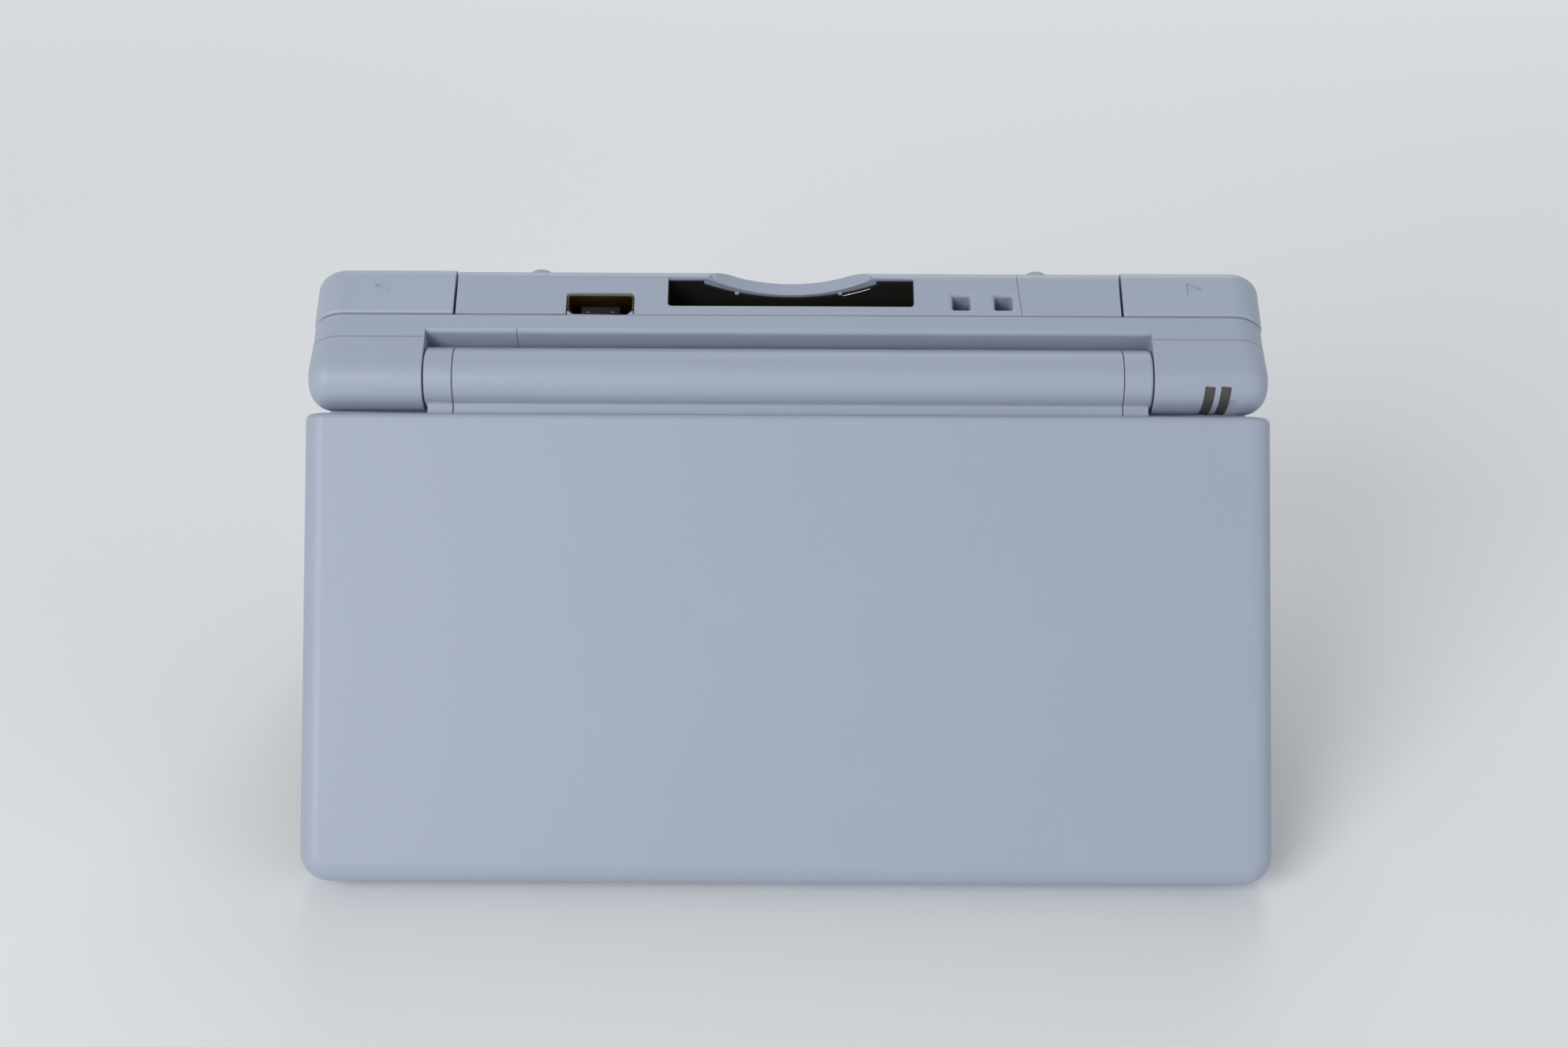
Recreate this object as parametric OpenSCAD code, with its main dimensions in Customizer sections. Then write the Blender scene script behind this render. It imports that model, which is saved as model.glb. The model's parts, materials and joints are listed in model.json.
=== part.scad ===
// Clamshell handheld game console, standing like a tent with its lid opened.
// Millimetres. The floor is z = 0, +Z up, the viewer at -Y sees the lid's outer face.
// Base pieces are drawn lying flat, hinge axis over y = 0, and stood up by in_base().
// Lid pieces are drawn around the hinge axis as in the closed console, for in_lid().

/* [Stance] */
// Opening angle of the lid as it stands
opening = 60; // [50:1:75]

/* [Body] */
// Width of the console
body_w = 133; // [130:0.5:140]
// Hinge axis to the free edges of base and lid
reach = 69.35; // [68:0.05:78]
// Hinge axis to the rear wall of the base
rear_reach = 4.3; // [4.3:0.05:5]
// Height of the seam between the lower and the upper shell
seam_z = 8.5; // [8.5:0.05:9]
// Height of the deck, where the lid closes
deck_z = 12.4; // [12.3:0.05:13]
// Height of the hinge axis over the underside
hinge_z = 16.45; // [16.4:0.05:17.2]
// Hinge axis to the lid's outer face
lid_rise = 5.05; // [4.8:0.05:6]
// Wall of the base shells
wall = 1.5; // [1.3:0.05:1.6]
// Floor of the lower shell
floor_t = 1.5; // [1.3:0.05:1.55]
// Plate of the deck
deck_t = 1.2; // [1:0.05:1.3]
// Corner radius of the base, seen from above
corner_r = 4.5; // [4:0.1:5]
// Rounding of the lower edges of the base
under_r = 2.2; // [1.5:0.1:2.6]
// Chamfer of the shells along their seam
seam_chamfer = 0.15; // [0.1:0.01:0.2]
// Rounding of the edges where base and lid meet
meet_r = 0.7; // [0.4:0.05:0.9]

/* [Hinge] */
// Radius of the hinge barrel and the knuckles
barrel_r = 4.28; // [4.1:0.02:4.3]
// Radius of a knuckle over that of the barrel
knuckle_proud = 0.27; // [0.1:0.01:0.3]
// Width of each knuckle
knuckle_w = 16.1; // [15:0.1:17]
// Height of the recess floor under the barrel
recess_z = 11.4; // [11.3:0.05:11.7]
// Rounding of the rear edge along the recess
rail_r = 0.75; // [0.5:0.05:0.8]
// Rounding of the knuckles' outer ends
knuckle_end_r = 3.4; // [2.5:0.1:3.8]
// Length of a hinge cap
cap_l = 4; // [3.5:0.1:4.5]
// Radius of the hollow hinge pin
pin_r = 1.9; // [1.7:0.05:2]
// Bore of the hinge pin for the ribbon
pin_bore_r = 1.2; // [1:0.05:1.3]
// Radius of the friction clutch
clutch_r = 2.9; // [2.7:0.05:3]
// Radius of the clutch shaft
shaft_r = 1.5; // [1.3:0.05:1.7]
// Radius of the ribbon channel in the barrel
channel_r = 2.95; // [2.9:0.05:3]

/* [Lid] */
// Hinge axis to the near edge of the lid panel
panel_start = 5.27; // [5.2:0.01:5.6]
// Gap between lid and deck when closed
closing_gap = 0.25; // [0.2:0.05:0.4]
// Depth of the hollow in the lid's inner face
inner_sink = 1.5; // [1.4:0.05:1.6]
// Wall of the lid shells
lid_wall = 1.4; // [1.2:0.05:1.5]
// Corner radius at the lid's free end
lid_corner_r = 4.1; // [3.8:0.1:5]
// Rounding of the lid's outer edges
lid_edge_r = 3; // [2.4:0.1:3.2]
// Rounding of the panel edge at the hinge
panel_end_r = 0.85; // [0.6:0.05:1.1]
// Level of the lid's seam over the hinge axis
lid_seam = -0.4; // [-0.5:0.05:-0.3]
// Half thickness of the neck from barrel to panel
neck_t = 2.15; // [2:0.05:2.3]
// Width of the rim around the inner hollow
lid_rim = 2; // [1.9:0.05:2.3]

/* [Screens] */
// Width of the visible screens
screen_w = 62.5; // [60:0.5:63]
// Height of the visible screens
screen_h = 47; // [45:0.5:48]
// Hinge axis to the middle of the lower screen
lower_screen_y = 34.5; // [34:0.1:36]
// Margin of the glass plates around the screens
glass_margin = 1.6; // [1.3:0.1:1.8]
// Thickness of the touch glass
touch_t = 0.8; // [0.7:0.05:0.85]
// Thickness of the lower display
lower_display_t = 1.8; // [1.5:0.05:1.85]
// Thickness of the upper display
upper_display_t = 2.3; // [2:0.1:2.6]
// Thickness of the lid's window plate
window_t = 0.75; // [0.6:0.05:0.8]

/* [Controls] */
// Hinge axis to the middle of the button groups
group_y = 27; // [26.5:0.1:28]
// Middle of the group to each face button
button_pitch = 7.2; // [7:0.1:7.6]
// Radius of a face button
button_r = 3.4; // [3:0.05:3.5]
// Height of the buttons over the deck
button_rise = 0.9; // [0.7:0.05:1]
// Travel of the buttons
button_travel = 0.7; // [0.5:0.05:0.75]
// Radius of a menu button
menu_r = 1.9; // [1.6:0.05:2]
// Hinge axis to the first menu button
menu_y = 51; // [50:0.1:52]
// Spacing of the menu buttons
menu_pitch = 7; // [6.5:0.1:7.5]
// Edge of the touch glass to the menu buttons
menu_offset = 8.65; // [8:0.05:9]
// Span of the direction pad
pad_span = 19; // [18:0.1:19.5]
// Width of an arm of the direction pad
pad_arm = 6.4; // [6:0.1:6.8]

/* [Shoulder buttons] */
// Width of a shoulder button
shoulder_w = 19.7; // [18:0.1:20]
// Depth of a shoulder button along the side
shoulder_d = 10.4; // [10:0.1:11]
// How far a shoulder button stands proud
shoulder_proud = 0.15; // [0.05:0.05:0.2]
// Gap around a shoulder button
shoulder_gap = 0.35; // [0.3:0.05:0.4]
// Wall of a shoulder button
shoulder_wall = 1.3; // [1.1:0.05:1.4]
// Angle by which a shoulder button is pressed
shoulder_turn = 2.4; // [1.5:0.1:3]
// Radius of the shoulder pins
shoulder_pin_r = 0.8; // [0.7:0.05:0.9]

/* [Rear sockets] */
// Width of the card slot
card_w = 34.5; // [33.5:0.1:35]
// Middle of the card slot, right of the middle
card_x = 0.35; // [0:0.05:0.5]
// Lower edge of the card slot
card_z = 2; // [1.9:0.05:2.1]
// Height of the card slot
card_h = 4.9; // [4.5:0.05:4.95]
// Depth of the card slot from the rear wall
card_d = 34; // [33:0.1:34.5]
// Width of the finger notch at the underside
notch_w = 23.2; // [22:0.1:24]
// Depth of the finger notch
notch_d = 3.8; // [3.5:0.1:4]
// Width of the case's rim round the mouth of the card slot
card_rim = 0.62; // [0.5:0.02:0.8]
// Width of the power connector
power_w = 9.3; // [9:0.1:9.6]
// Height of the power connector
power_h = 3.75; // [3.6:0.05:3.9]
// Middle of the power connector, left of the middle
power_x = 26.3; // [26:0.05:27]
// Width of each strap hole
strap_w = 2.4; // [2.2:0.1:2.6]
// Chamfer of their mouths
strap_chamfer = 0.35; // [0.2:0.05:0.4]
// Height of their middle over the underside
strap_z = 6.05; // [5.9:0.05:6.2]
// Middle of the console to the middle between the strap holes
strap_x = 27.15; // [27:0.05:28]
// Spacing of the strap holes
strap_pitch = 5.9; // [5.6:0.1:6.2]

/* [Front and side fittings] */
// Width of the cartridge slot at the front
cart_w = 58.4; // [56:0.1:59]
// Height of the cartridge slot
cart_h = 5.7; // [5:0.05:5.75]
// Depth of the cartridge slot
cart_d = 22; // [20:0.5:23]
// Radius of the headphone socket
jack_r = 1.8; // [1.7:0.05:1.9]
// Cartridge slot to the headphone socket
jack_offset = 17.8; // [17:0.1:18]
// Cartridge slot to the volume slider
volume_offset = 11.8; // [11:0.1:12.5]
// Free edge to the middle of the power slider
power_offset = 17.95; // [17:0.05:18.5]
// Depth of the headphone socket
jack_d = 12; // [11:0.1:13]
// Radius of the stylus
stylus_r = 2.45; // [2.3:0.05:2.5]
// Length of the stylus
stylus_l = 87.5; // [80:0.5:88]
// Battery length
battery_l = 42; // [36:0.5:43]
// Side wall to the battery
battery_side = 7.2; // [7.1:0.1:9]
// Cartridge slot to the battery
battery_gap = 4.3; // [4:0.1:6]
// Battery thickness
battery_t = 5.2; // [4.6:0.05:5.3]

/* [Fasteners and fits] */
// Radius of the screw shanks
screw_r = 0.9; // [0.8:0.05:1]
// Radius of the screw heads
screw_head_r = 1.7; // [1.6:0.05:1.8]
// Height of the screw heads
screw_head_h = 1; // [0.8:0.05:1.1]
// Radial running fit of pins and shafts
fit = 0.05; // [0.03:0.01:0.09]
// Clearance between parts laid next to each other
clear = 0.1; // [0.08:0.01:0.15]
// Gap round a control in its hole
control_gap = 0.3; // [0.25:0.01:0.35]

/* [Hidden] */
$fn = 48;

// Stance: base and lid lean on their meeting edges, rounded by meet_r, on one floor.
base_drop = hinge_z - deck_z;
lid_drop = base_drop - closing_gap;
mean_drop = (base_drop + lid_drop) / 2;
half_tip = (180 - opening) / 2;
tip_shift = atan(mean_drop / (reach - meet_r + (meet_r + closing_gap / 2) * tan(half_tip)));
base_slope = half_tip + tip_shift;
lid_slope = half_tip - tip_shift;
axis_z = (reach - meet_r) * sin(base_slope) - (base_drop + meet_r) * cos(base_slope) + meet_r;
nearest_y = -(reach - lid_edge_r) * cos(lid_slope) - (lid_rise - lid_edge_r) * sin(lid_slope)
    - lid_edge_r;
farthest_y = (reach - under_r) * cos(base_slope) + (hinge_z - under_r) * sin(base_slope) + under_r;
axis_y = -(nearest_y + farthest_y) / 2;

// Levels and places of the base, in the frame in which it lies flat.
half_w = body_w / 2;
recess_x = half_w - knuckle_w;
knuckle_r = barrel_r + knuckle_proud;
shoulder_x = half_w - shoulder_w;
deck_under = deck_z - deck_t;
gasket_t = 0.3;
touch_top = deck_under - gasket_t;
display_top = touch_top - touch_t;
display_under = display_top - lower_display_t;
board_t = 0.8;
board_top = display_under - 2 * clear;
board_under = board_top - board_t;
glass_w = screen_w + 2 * glass_margin;
glass_h = screen_h + 2 * glass_margin;
stylus_z = floor_t + clear + 2.8;
jack_z = 4.7;
jack_side = 3.4;
cover_t = 0.8;
battery_w = half_w - battery_side - cart_w / 2 - battery_gap;
battery_x = half_w - battery_side - battery_w / 2;
battery_y = reach / 2 + 0.3;
cover_screw_y = battery_y + battery_l / 2 + 4.6;
cover_screw_x = battery_x + 4;
jack_x = cart_w / 2 + jack_offset;
volume_x = cart_w / 2 + volume_offset;
power_y = -reach + power_offset;
card_rim_half = notch_w / 2 + 0.6;
card_rim_step = 0.7;
card_plate_t = 0.4;
strap_mouth = strap_w + 2 * strap_chamfer + 0.2;
shoulder_slit = 0.15;
slider_z = 5.1;
slider_half = 0.8;
slider_foot_half = 1.5;
slider_slot_half = 1;
tongue_w = 5.5;
tongue_t = 1.3;
tongue_z = seam_z - 1.7;
stylus_y = (reach - cart_d - 2 + card_d - rear_reach + wall) / 2;
upper_screen_y = (panel_start + reach) / 2;
group_x = (glass_w / 2 + half_w) / 2;
menu_x = glass_w / 2 + menu_offset;
membrane_t = 0.35;
power_travel = 2;
power_wall = 0.3;
power_cut = 1.1;
cart_z = 2;
screw_places = [[half_w - 5.3, -reach + 5.6], [-half_w + 5.3, -reach + 5.6],
    [half_w - 24.5, -1.2], [-half_w + 24.5, -1.2], [half_w - 4.4, -11], [-half_w + 4.4, -11]];
boss_r = 2.6;
pivot_x = half_w - 3.9;
pivot_y = 0.7;
light_places = [half_w - 8.8, half_w - 6.6];
light_slant = -5.9;
light_w = 1.4;

// Colours
case_white = [0.80, 0.83, 0.87];
button_white = [0.84, 0.86, 0.88];
control_grey = [0.70, 0.72, 0.74];
dark_plastic = [0.10, 0.10, 0.09];
board_green = [0.07, 0.28, 0.16];
bright_metal = [0.72, 0.73, 0.74];
gold = [0.75, 0.58, 0.28];
smoke = [0.16, 0.17, 0.18];
glass_tint = [0.16, 0.18, 0.20];
soft_grey = [0.55, 0.56, 0.57];
copper = [0.72, 0.42, 0.24];

// Stands the base up at its slope; the children lie flat, underside at z = 0.
module in_base() {
    translate([0, axis_y, axis_z]) rotate([180 - base_slope, 0, 0]) translate([0, 0, -hinge_z])
        children();
}

// Stands the lid up; the children lie as in the closed console, hinge axis at the origin.
module in_lid() {
    translate([0, axis_y, axis_z]) rotate([lid_slope, 0, 0]) children();
}

// Disc with its lower edge rounded.
module rounded_disc(r, h, edge) {
    rotate_extrude() intersection() {
        union() {
            translate([0, edge]) square([r, h - edge]);
            square([r - edge, h]);
            translate([r - edge, edge]) circle(edge);
        }
        square([r, h]);
    }
}

// Slab between two y values with rounded corners, a rounded lower and a chamfered upper edge.
module tray_block(w, y0, y1, h, r, edge, top = 0) {
    hull() for (x = [-w / 2 + r, w / 2 - r], y = [y0 + r, y1 - r]) translate([x, y, 0]) {
        rounded_disc(r, h - top, edge);
        if (top > 0) translate([0, 0, h - top]) cylinder(r1 = r, r2 = r - top, h = top);
    }
}

// Plain box given by its low and high corners.
module span(low, high) {
    translate(low) cube(high - low);
}

// Cylinder along X between two x values.
module along_x(x0, x1, r) {
    translate([x0, 0, 0]) rotate([0, 90, 0]) cylinder(r = r, h = x1 - x0);
}

// Mirrors the children to the other side as well.
module both_sides() {
    children();
    mirror([1, 0, 0]) children();
}

// ---- Shared shapes of the base ----

// Footprint of the main board, less the space of what stands through it.
module board_outline() {
    difference() {
        translate([-half_w + 3, -reach + 4]) square([body_w - 6, reach - 4 - 1]);
        translate([-cart_w / 2 - 2.2, -reach]) square([cart_w + 4.4, cart_d + 3.4]);
        for (side = [-1, 1])
            translate([side * (half_w - (half_w - shoulder_x + 3) / 2), -shoulder_d + rear_reach])
                square([half_w - shoulder_x + 3, 2 * shoulder_d], center = true);
        translate([-power_x - power_w / 2 - 0.4, -5.4]) square([power_w + 0.8, 10]);
        for (place = screw_places) translate(place) circle(boss_r + 0.3);
        translate([jack_x - 4.2, -reach]) square([8.4, jack_d + 2.4]);
        translate([-volume_x - 7.4, -reach]) square([14.8, 7]);
        translate([half_w - 7, power_y - 7.6]) square([8, 16]);
        translate([strap_x - 5.3, -2.8]) square([10.6, 9]);
    }
}

// Space that a shoulder button takes from the corner of the lower shell.
module shoulder_space(gap) {
    span([shoulder_x - gap, rear_reach - shoulder_d - gap, -1], [half_w + 2, rear_reach + 2, seam_z + 1]);
}

// Corner outline of a shoulder button, grown outward by a distance.
module shoulder_outline(grow) {
    intersection() {
        translate([0, 0, -grow / 2])
            tray_block(body_w + 2 * grow, -reach, rear_reach + grow, seam_z - shoulder_slit + grow / 2,
                corner_r, under_r, 2 * seam_chamfer);
        span([shoulder_x, rear_reach - shoulder_d, -1], [half_w + 2, rear_reach + 2, seam_z]);
    }
}

// Ring sector for one light window, over the top of the right knuckle.
module light_sector(r0, r1, width, from, to) {
    rotate([0, 0, light_slant]) translate([-width / 2, 0, 0]) rotate([90, 0, 90])
        rotate([0, 0, from]) rotate_extrude(angle = to - from) translate([r0, 0]) square([r1 - r0, width]);
}

// ---- Base shells ----

// Lower shell with the rear sockets, the front and side openings and the screw bosses.
module lower_shell() color(case_white) in_base() {
    lower_moulding();
    both_sides() shoulder_ledge();
}

// Ledge that closes the gap in front of a shoulder button, inside the button's skin.
module shoulder_ledge() {
    span([shoulder_x + shoulder_wall + 0.6, rear_reach - shoulder_d - 1, shoulder_wall + 0.15],
        [pivot_x - 1.5, rear_reach - shoulder_d + 1.1, shoulder_wall + 0.85]);
}

// Moulding of the lower shell with all its openings.
module lower_moulding() difference() {
    union() {
        difference() {
            tray_block(body_w - 0.2, -reach, rear_reach, seam_z, corner_r, under_r, seam_chamfer);
            translate([0, 0, floor_t])
                tray_block(body_w - 2 * wall, -reach + wall, rear_reach - wall, seam_z, corner_r - wall, 0.1);
        }
        // Walls behind the shoulder buttons
        both_sides() intersection() {
            translate([0, 0, floor_t - 0.2])
                tray_block(body_w - wall, -reach + wall, rear_reach - 0.5, seam_z - floor_t + 0.2,
                    corner_r, 0.5);
            union() {
                span([shoulder_x - 2, rear_reach - shoulder_d - 1.6, floor_t - 0.2],
                    [half_w - 0.6, rear_reach - shoulder_d, seam_z]);
                span([shoulder_x - 1.7, rear_reach - shoulder_d - 1.6, floor_t - 0.2],
                    [shoulder_x, rear_reach - 0.5, seam_z]);
            }
        }
        for (place = screw_places) translate([place[0], place[1], 0.4])
            cylinder(r = boss_r, h = seam_z - 0.4);
        // Block with the strap post
        span([strap_x - 4.9, -2.4, floor_t - 0.1], [strap_x + 4.9, rear_reach - 0.6, seam_z - 0.6]);
        // Jambs of the power connector
        for (side = [-1, 1]) translate([-power_x + side * (power_w / 2 + 0.95), 0.9, floor_t - 0.1])
            translate([-0.8, 0, 0]) cube([1.6, 2.4, seam_z - floor_t]);
        both_battery_ribs();
        translate([-cover_screw_x, -cover_screw_y, floor_t - 0.2]) cylinder(r = 1.95, h = 3);
        // Thick rim at the mouth of the card slot
        translate([0, 0, floor_t - 0.1]) linear_extrude(card_z - floor_t + 0.1) card_rim_plan();
    }
    both_sides() shoulder_space(shoulder_gap);
    // Card slot, open to the rear
    span([card_x - card_w / 2, -2, card_z], [card_x + card_w / 2, rear_reach + 1, card_z + card_h]);
    // Seat of the card connector's floor, up to the rim
    translate([0, 0, card_z - card_plate_t - clear]) linear_extrude(card_plate_t + 2 * clear) difference() {
        translate([card_x - card_w / 2, -6]) square([card_w, 6 + rear_reach - card_rim]);
        card_rim_plan();
    }
    // Finger notch through the underside
    translate([card_x - 0.1, rear_reach - notch_d + arc_r(notch_w, notch_d), -1])
        cylinder(r = arc_r(notch_w, notch_d), h = card_z + 1.5, $fn = 128);
    // Power connector, open to the seam
    span([-power_x - power_w / 2 - clear, -1, seam_z - power_h - clear],
        [-power_x + power_w / 2 + clear, rear_reach + 1, seam_z + 1]);
    // Strap holes with chamfered mouths, joined behind the post
    for (side = [-1, 1]) translate([strap_x + side * strap_pitch / 2, 0, strap_z]) {
        translate([0, rear_reach / 2 + 0.5, 0]) cube([strap_w, rear_reach + 1, strap_w], center = true);
        hull() {
            translate([0, rear_reach - strap_chamfer, 0]) cube([strap_w, 0.01, strap_w], center = true);
            translate([0, rear_reach + 0.1, 0]) cube([strap_mouth, 0.01, strap_mouth], center = true);
        }
    }
    span([strap_x - strap_pitch / 2 - strap_w / 2, -1.2, strap_z - strap_w / 2],
        [strap_x + strap_pitch / 2 + strap_w / 2, 1.4, strap_z + strap_w / 2]);
    // Cartridge slot at the front
    span([-cart_w / 2, -reach - 1, cart_z], [cart_w / 2, -reach + 4, cart_z + cart_h]);
    // Battery bay, closed by its cover
    span([-battery_x - battery_w / 2 - 0.4, -battery_y - battery_l / 2 - 0.4, -1],
        [-battery_x + battery_w / 2 + 0.4, -battery_y + battery_l / 2 + 0.4, floor_t + 1]);
    battery_cover_space(clear);
    translate([-cover_screw_x, -cover_screw_y, -1]) cylinder(r = screw_r + fit, h = 6);
    // Screws from below
    for (place = screw_places) translate([place[0], place[1], -1]) {
        cylinder(r = screw_r + fit, h = seam_z + 2);
        cylinder(r = screw_head_r + 0.15, h = 1 + floor_t + screw_head_h);
    }
    // Seats of the rubber feet
    for (place = foot_places()) translate([place[0], place[1], -1]) cylinder(r = foot_r, h = 1 + foot_seat);
    // Headphone socket, volume and power sliders, stylus
    translate([jack_x, -reach - 1, jack_z]) rotate([-90, 0, 0]) cylinder(r = jack_r + 0.9, h = 4);
    translate([-volume_x, -reach, slider_z]) span([-5.2, -1, -slider_slot_half], [5.2, 4, slider_slot_half]);
    translate([half_w, power_y, slider_z])
        span([-4, -2.8, -slider_slot_half], [1, 2.8 + power_travel, slider_slot_half]);
    translate([0, -stylus_y, stylus_z]) along_x(half_w - 4, half_w + 1, stylus_r + 0.2);
}

// Radius of an arc, from its width and depth.
function arc_r(w, d) = (w * w / 4 + d * d) / (2 * d);

// Rim of the case round the finger notch, seen from below.
module card_rim_plan() translate([card_x - 0.1, 0]) intersection() {
    r = arc_r(2 * card_rim_half, notch_d - card_rim_step);
    translate([0, rear_reach - notch_d - card_rim + r]) circle(r, $fn = 160);
    translate([-card_rim_half, -3]) square([2 * card_rim_half, rear_reach + 2.4]);
}

foot_r = 1.75;
foot_seat = 0.5;
foot_rise = 0.2;
function foot_places() = [[35, rear_reach - 2.6], [-35, rear_reach - 2.6],
    [half_w - 12, -reach + 4.6], [-half_w + 12, -reach + 4.6]];

// Ribs that hold the battery at its long sides.
module both_battery_ribs() {
    for (side = [-1, 1]) translate([-battery_x + side * (battery_w / 2 + 0.9), -battery_y, 0])
        translate([-0.5, -battery_l / 2, floor_t - 0.1]) cube([1, battery_l, battery_t]);
}

// Plate of the battery cover with its screw tab, grown by a gap.
module battery_cover_space(gap) {
    translate([-battery_x, -battery_y, 0]) {
        span([-battery_w / 2 - 1.6 - gap, -battery_l / 2 - 1.6 - gap, -1],
            [battery_w / 2 + 1.6 + gap, battery_l / 2 + 1.6 + gap, cover_t + gap]);
        translate([battery_x - cover_screw_x, battery_y - cover_screw_y, 0]) {
            translate([0, 0, -1]) cylinder(r = 3 + gap, h = 1 + cover_t + gap);
            span([-3 - gap, 0, -1], [3 + gap, 4.6, cover_t + gap]);
        }
    }
}

// Upper shell: rim, deck, knuckles and the holes of the controls.
module upper_shell() color(case_white) in_base() difference() {
    union() {
        difference() {
            translate([0, 0, seam_z]) upper_block();
            translate([0, 0, seam_z - 1])
                tray_block(body_w - 2 * wall, -reach + wall, rear_reach - wall,
                    deck_under - seam_z + 1, corner_r - wall, 0.1);
        }
        both_sides() knuckle();
        // Plate under the recess of the barrel
        span([-recess_x - 1, -barrel_r - 1.4, recess_z - deck_t], [recess_x + 1, rear_reach - 1, recess_z]);
        for (place = screw_places) translate([place[0], place[1], seam_z])
            cylinder(r = boss_r, h = deck_under - seam_z + 0.2);
        // Corners that fill the slants of the power connector's mouth
        for (side = [0, 1]) translate([-power_x, rear_reach - 0.1, seam_z]) mirror([side, 0, 0])
            rotate([90, 0, 0]) linear_extrude(1) polygon([[power_w / 2 - power_cut + 0.2, 0.1],
                [power_w / 2 - 0.05, 0.1], [power_w / 2 - 0.05, 0.25 - power_cut]]);
        // Bosses that hold the shoulder pins from above
        both_sides() translate([pivot_x, pivot_y, seam_z + 0.1]) cylinder(r = 2.1, h = deck_z - seam_z - 0.5);
    }
    // Recess of the barrel, its rear edge rounded
    span([-recess_x, -barrel_r - 0.35, recess_z], [recess_x, rear_reach + 1, hinge_z + 6]);
    translate([-recess_x, rear_reach - rail_r, recess_z - rail_r]) rotate([90, 0, 90])
        linear_extrude(2 * recess_x) difference() {
            square(rail_r + 0.2);
            circle(rail_r);
        }
    for (place = screw_places) translate([place[0], place[1], seam_z - 1])
        cylinder(r = screw_r + fit / 2, h = deck_under - seam_z);
    both_sides() translate([pivot_x, pivot_y, seam_z - 1]) cylinder(r = shoulder_pin_r + fit, h = 3.2);
    // Window of the touch screen
    translate([0, -lower_screen_y, deck_z]) cube([screen_w + 0.6, screen_h + 0.6, 8], center = true);
    // Direction pad, face buttons and menu buttons
    translate([-group_x, -group_y, deck_under - 1]) pad_cross(control_gap + 0.08, deck_t + 3);
    for (place = face_places()) translate([place[0], place[1], deck_under - 1])
        cylinder(r = button_r + control_gap / 2, h = deck_t + 3);
    for (place = menu_places()) translate([place[0], place[1], deck_under - 1])
        cylinder(r = menu_r + control_gap / 2, h = deck_t + 3);
    // Hinge pin, clutch and light windows
    translate([0, 0, hinge_z]) {
        along_x(-half_w + 4, -recess_x + 1, pin_r + fit);
        along_x(recess_x - 1, half_w - 9.6, clutch_r + fit);
        for (x = light_places) translate([x, -knuckle_proud, 0])
            light_sector(clutch_r + knuckle_proud + 0.15, knuckle_r + 1, light_w + 0.04, 43, 150);
    }
    // Power connector, which reaches up to the seam
    span([-power_x - power_w / 2 - clear, -5, seam_z - 1],
        [-power_x + power_w / 2 + clear, rear_reach - wall, seam_z + 0.2]);
}

// Places of the face buttons and of the menu buttons.
function face_places() = [[group_x + button_pitch, -group_y], [group_x, -group_y + button_pitch],
    [group_x, -group_y - button_pitch], [group_x - button_pitch, -group_y]];
function menu_places() = [[menu_x, -menu_y], [menu_x, -menu_y - menu_pitch]];

// Outer block of the upper shell, its meeting edge rounded.
module upper_block() {
    hull() for (x = [-half_w + corner_r, half_w - corner_r], y = [-reach + corner_r, rear_reach - corner_r])
        translate([x, y, 0]) {
            translate([0, 0, deck_z - seam_z]) mirror([0, 0, 1])
                rounded_disc(corner_r, deck_z - seam_z - seam_chamfer, meet_r);
            cylinder(r1 = corner_r - seam_chamfer, r2 = corner_r, h = seam_chamfer);
        }
}

// Knuckle on the right: a rounded cylinder grown together with the deck below it.
module knuckle() {
    hull() {
        intersection() {
            translate([recess_x, -knuckle_proud, hinge_z]) rotate([0, 90, 0])
                mirror([0, 0, 1]) translate([0, 0, -(half_w - recess_x)])
                    rounded_disc(knuckle_r, half_w - recess_x, knuckle_end_r);
            span([recess_x, -9, 0], [half_w, 9, 30]);
        }
        translate([recess_x, -barrel_r, deck_under])
            cube([half_w - recess_x - corner_r, barrel_r + rear_reach, 0.5]);
        translate([half_w - corner_r, rear_reach - corner_r, deck_under]) cylinder(r = corner_r, h = 0.5);
        translate([half_w - corner_r, -barrel_r + 1, deck_under]) cube([corner_r - 0.2, 1, 0.5]);
    }
}

// Battery cover with its tab.
module battery_cover() color(case_white) in_base() difference() {
    intersection() {
        battery_cover_space(0);
        span([-half_w, -reach, 0.02], [0, 0, cover_t]);
    }
    translate([-cover_screw_x, -cover_screw_y, -1]) cylinder(r = screw_r + fit, h = 4);
    translate([-cover_screw_x, -cover_screw_y, -1]) cylinder(r = screw_head_r + fit, h = 1 + cover_t - 0.3);
}

// Screw of the battery cover.
module battery_cover_screw() color(bright_metal) in_base()
    translate([-cover_screw_x, -cover_screw_y, 0.05]) cross_screw(cover_t - 0.4, 3.6);

// Screw with its head below and a cross recess.
module cross_screw(head_h, length) {
    difference() {
        union() {
            cylinder(r = screw_head_r, h = head_h);
            cylinder(r = screw_r, h = length);
        }
        for (a = [0, 90]) rotate([0, 0, a]) cube([1.9, 0.4, 2 * head_h * 0.6], center = true);
    }
}

// Screws that join the shells, put in from below.
module case_screws() color(bright_metal) in_base()
    for (place = screw_places) translate([place[0], place[1], floor_t])
        cross_screw(screw_head_h, deck_under - floor_t - deck_t);

// Rubber feet in their seats.
module rubber_feet() color(soft_grey) in_base()
    for (place = foot_places()) translate([place[0], place[1], -foot_rise])
        rounded_disc(foot_r - fit / 2, foot_rise + foot_seat, foot_rise);

// Battery pack with its label side up.
module battery_pack() color([0.30, 0.32, 0.36]) in_base()
    translate([-battery_x, -battery_y, cover_t + clear])
        linear_extrude(battery_t) square([battery_w, battery_l], center = true);

// Main circuit board.
module main_board() color(board_green) in_base() translate([0, 0, board_under])
    linear_extrude(board_t) board_outline();

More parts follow.
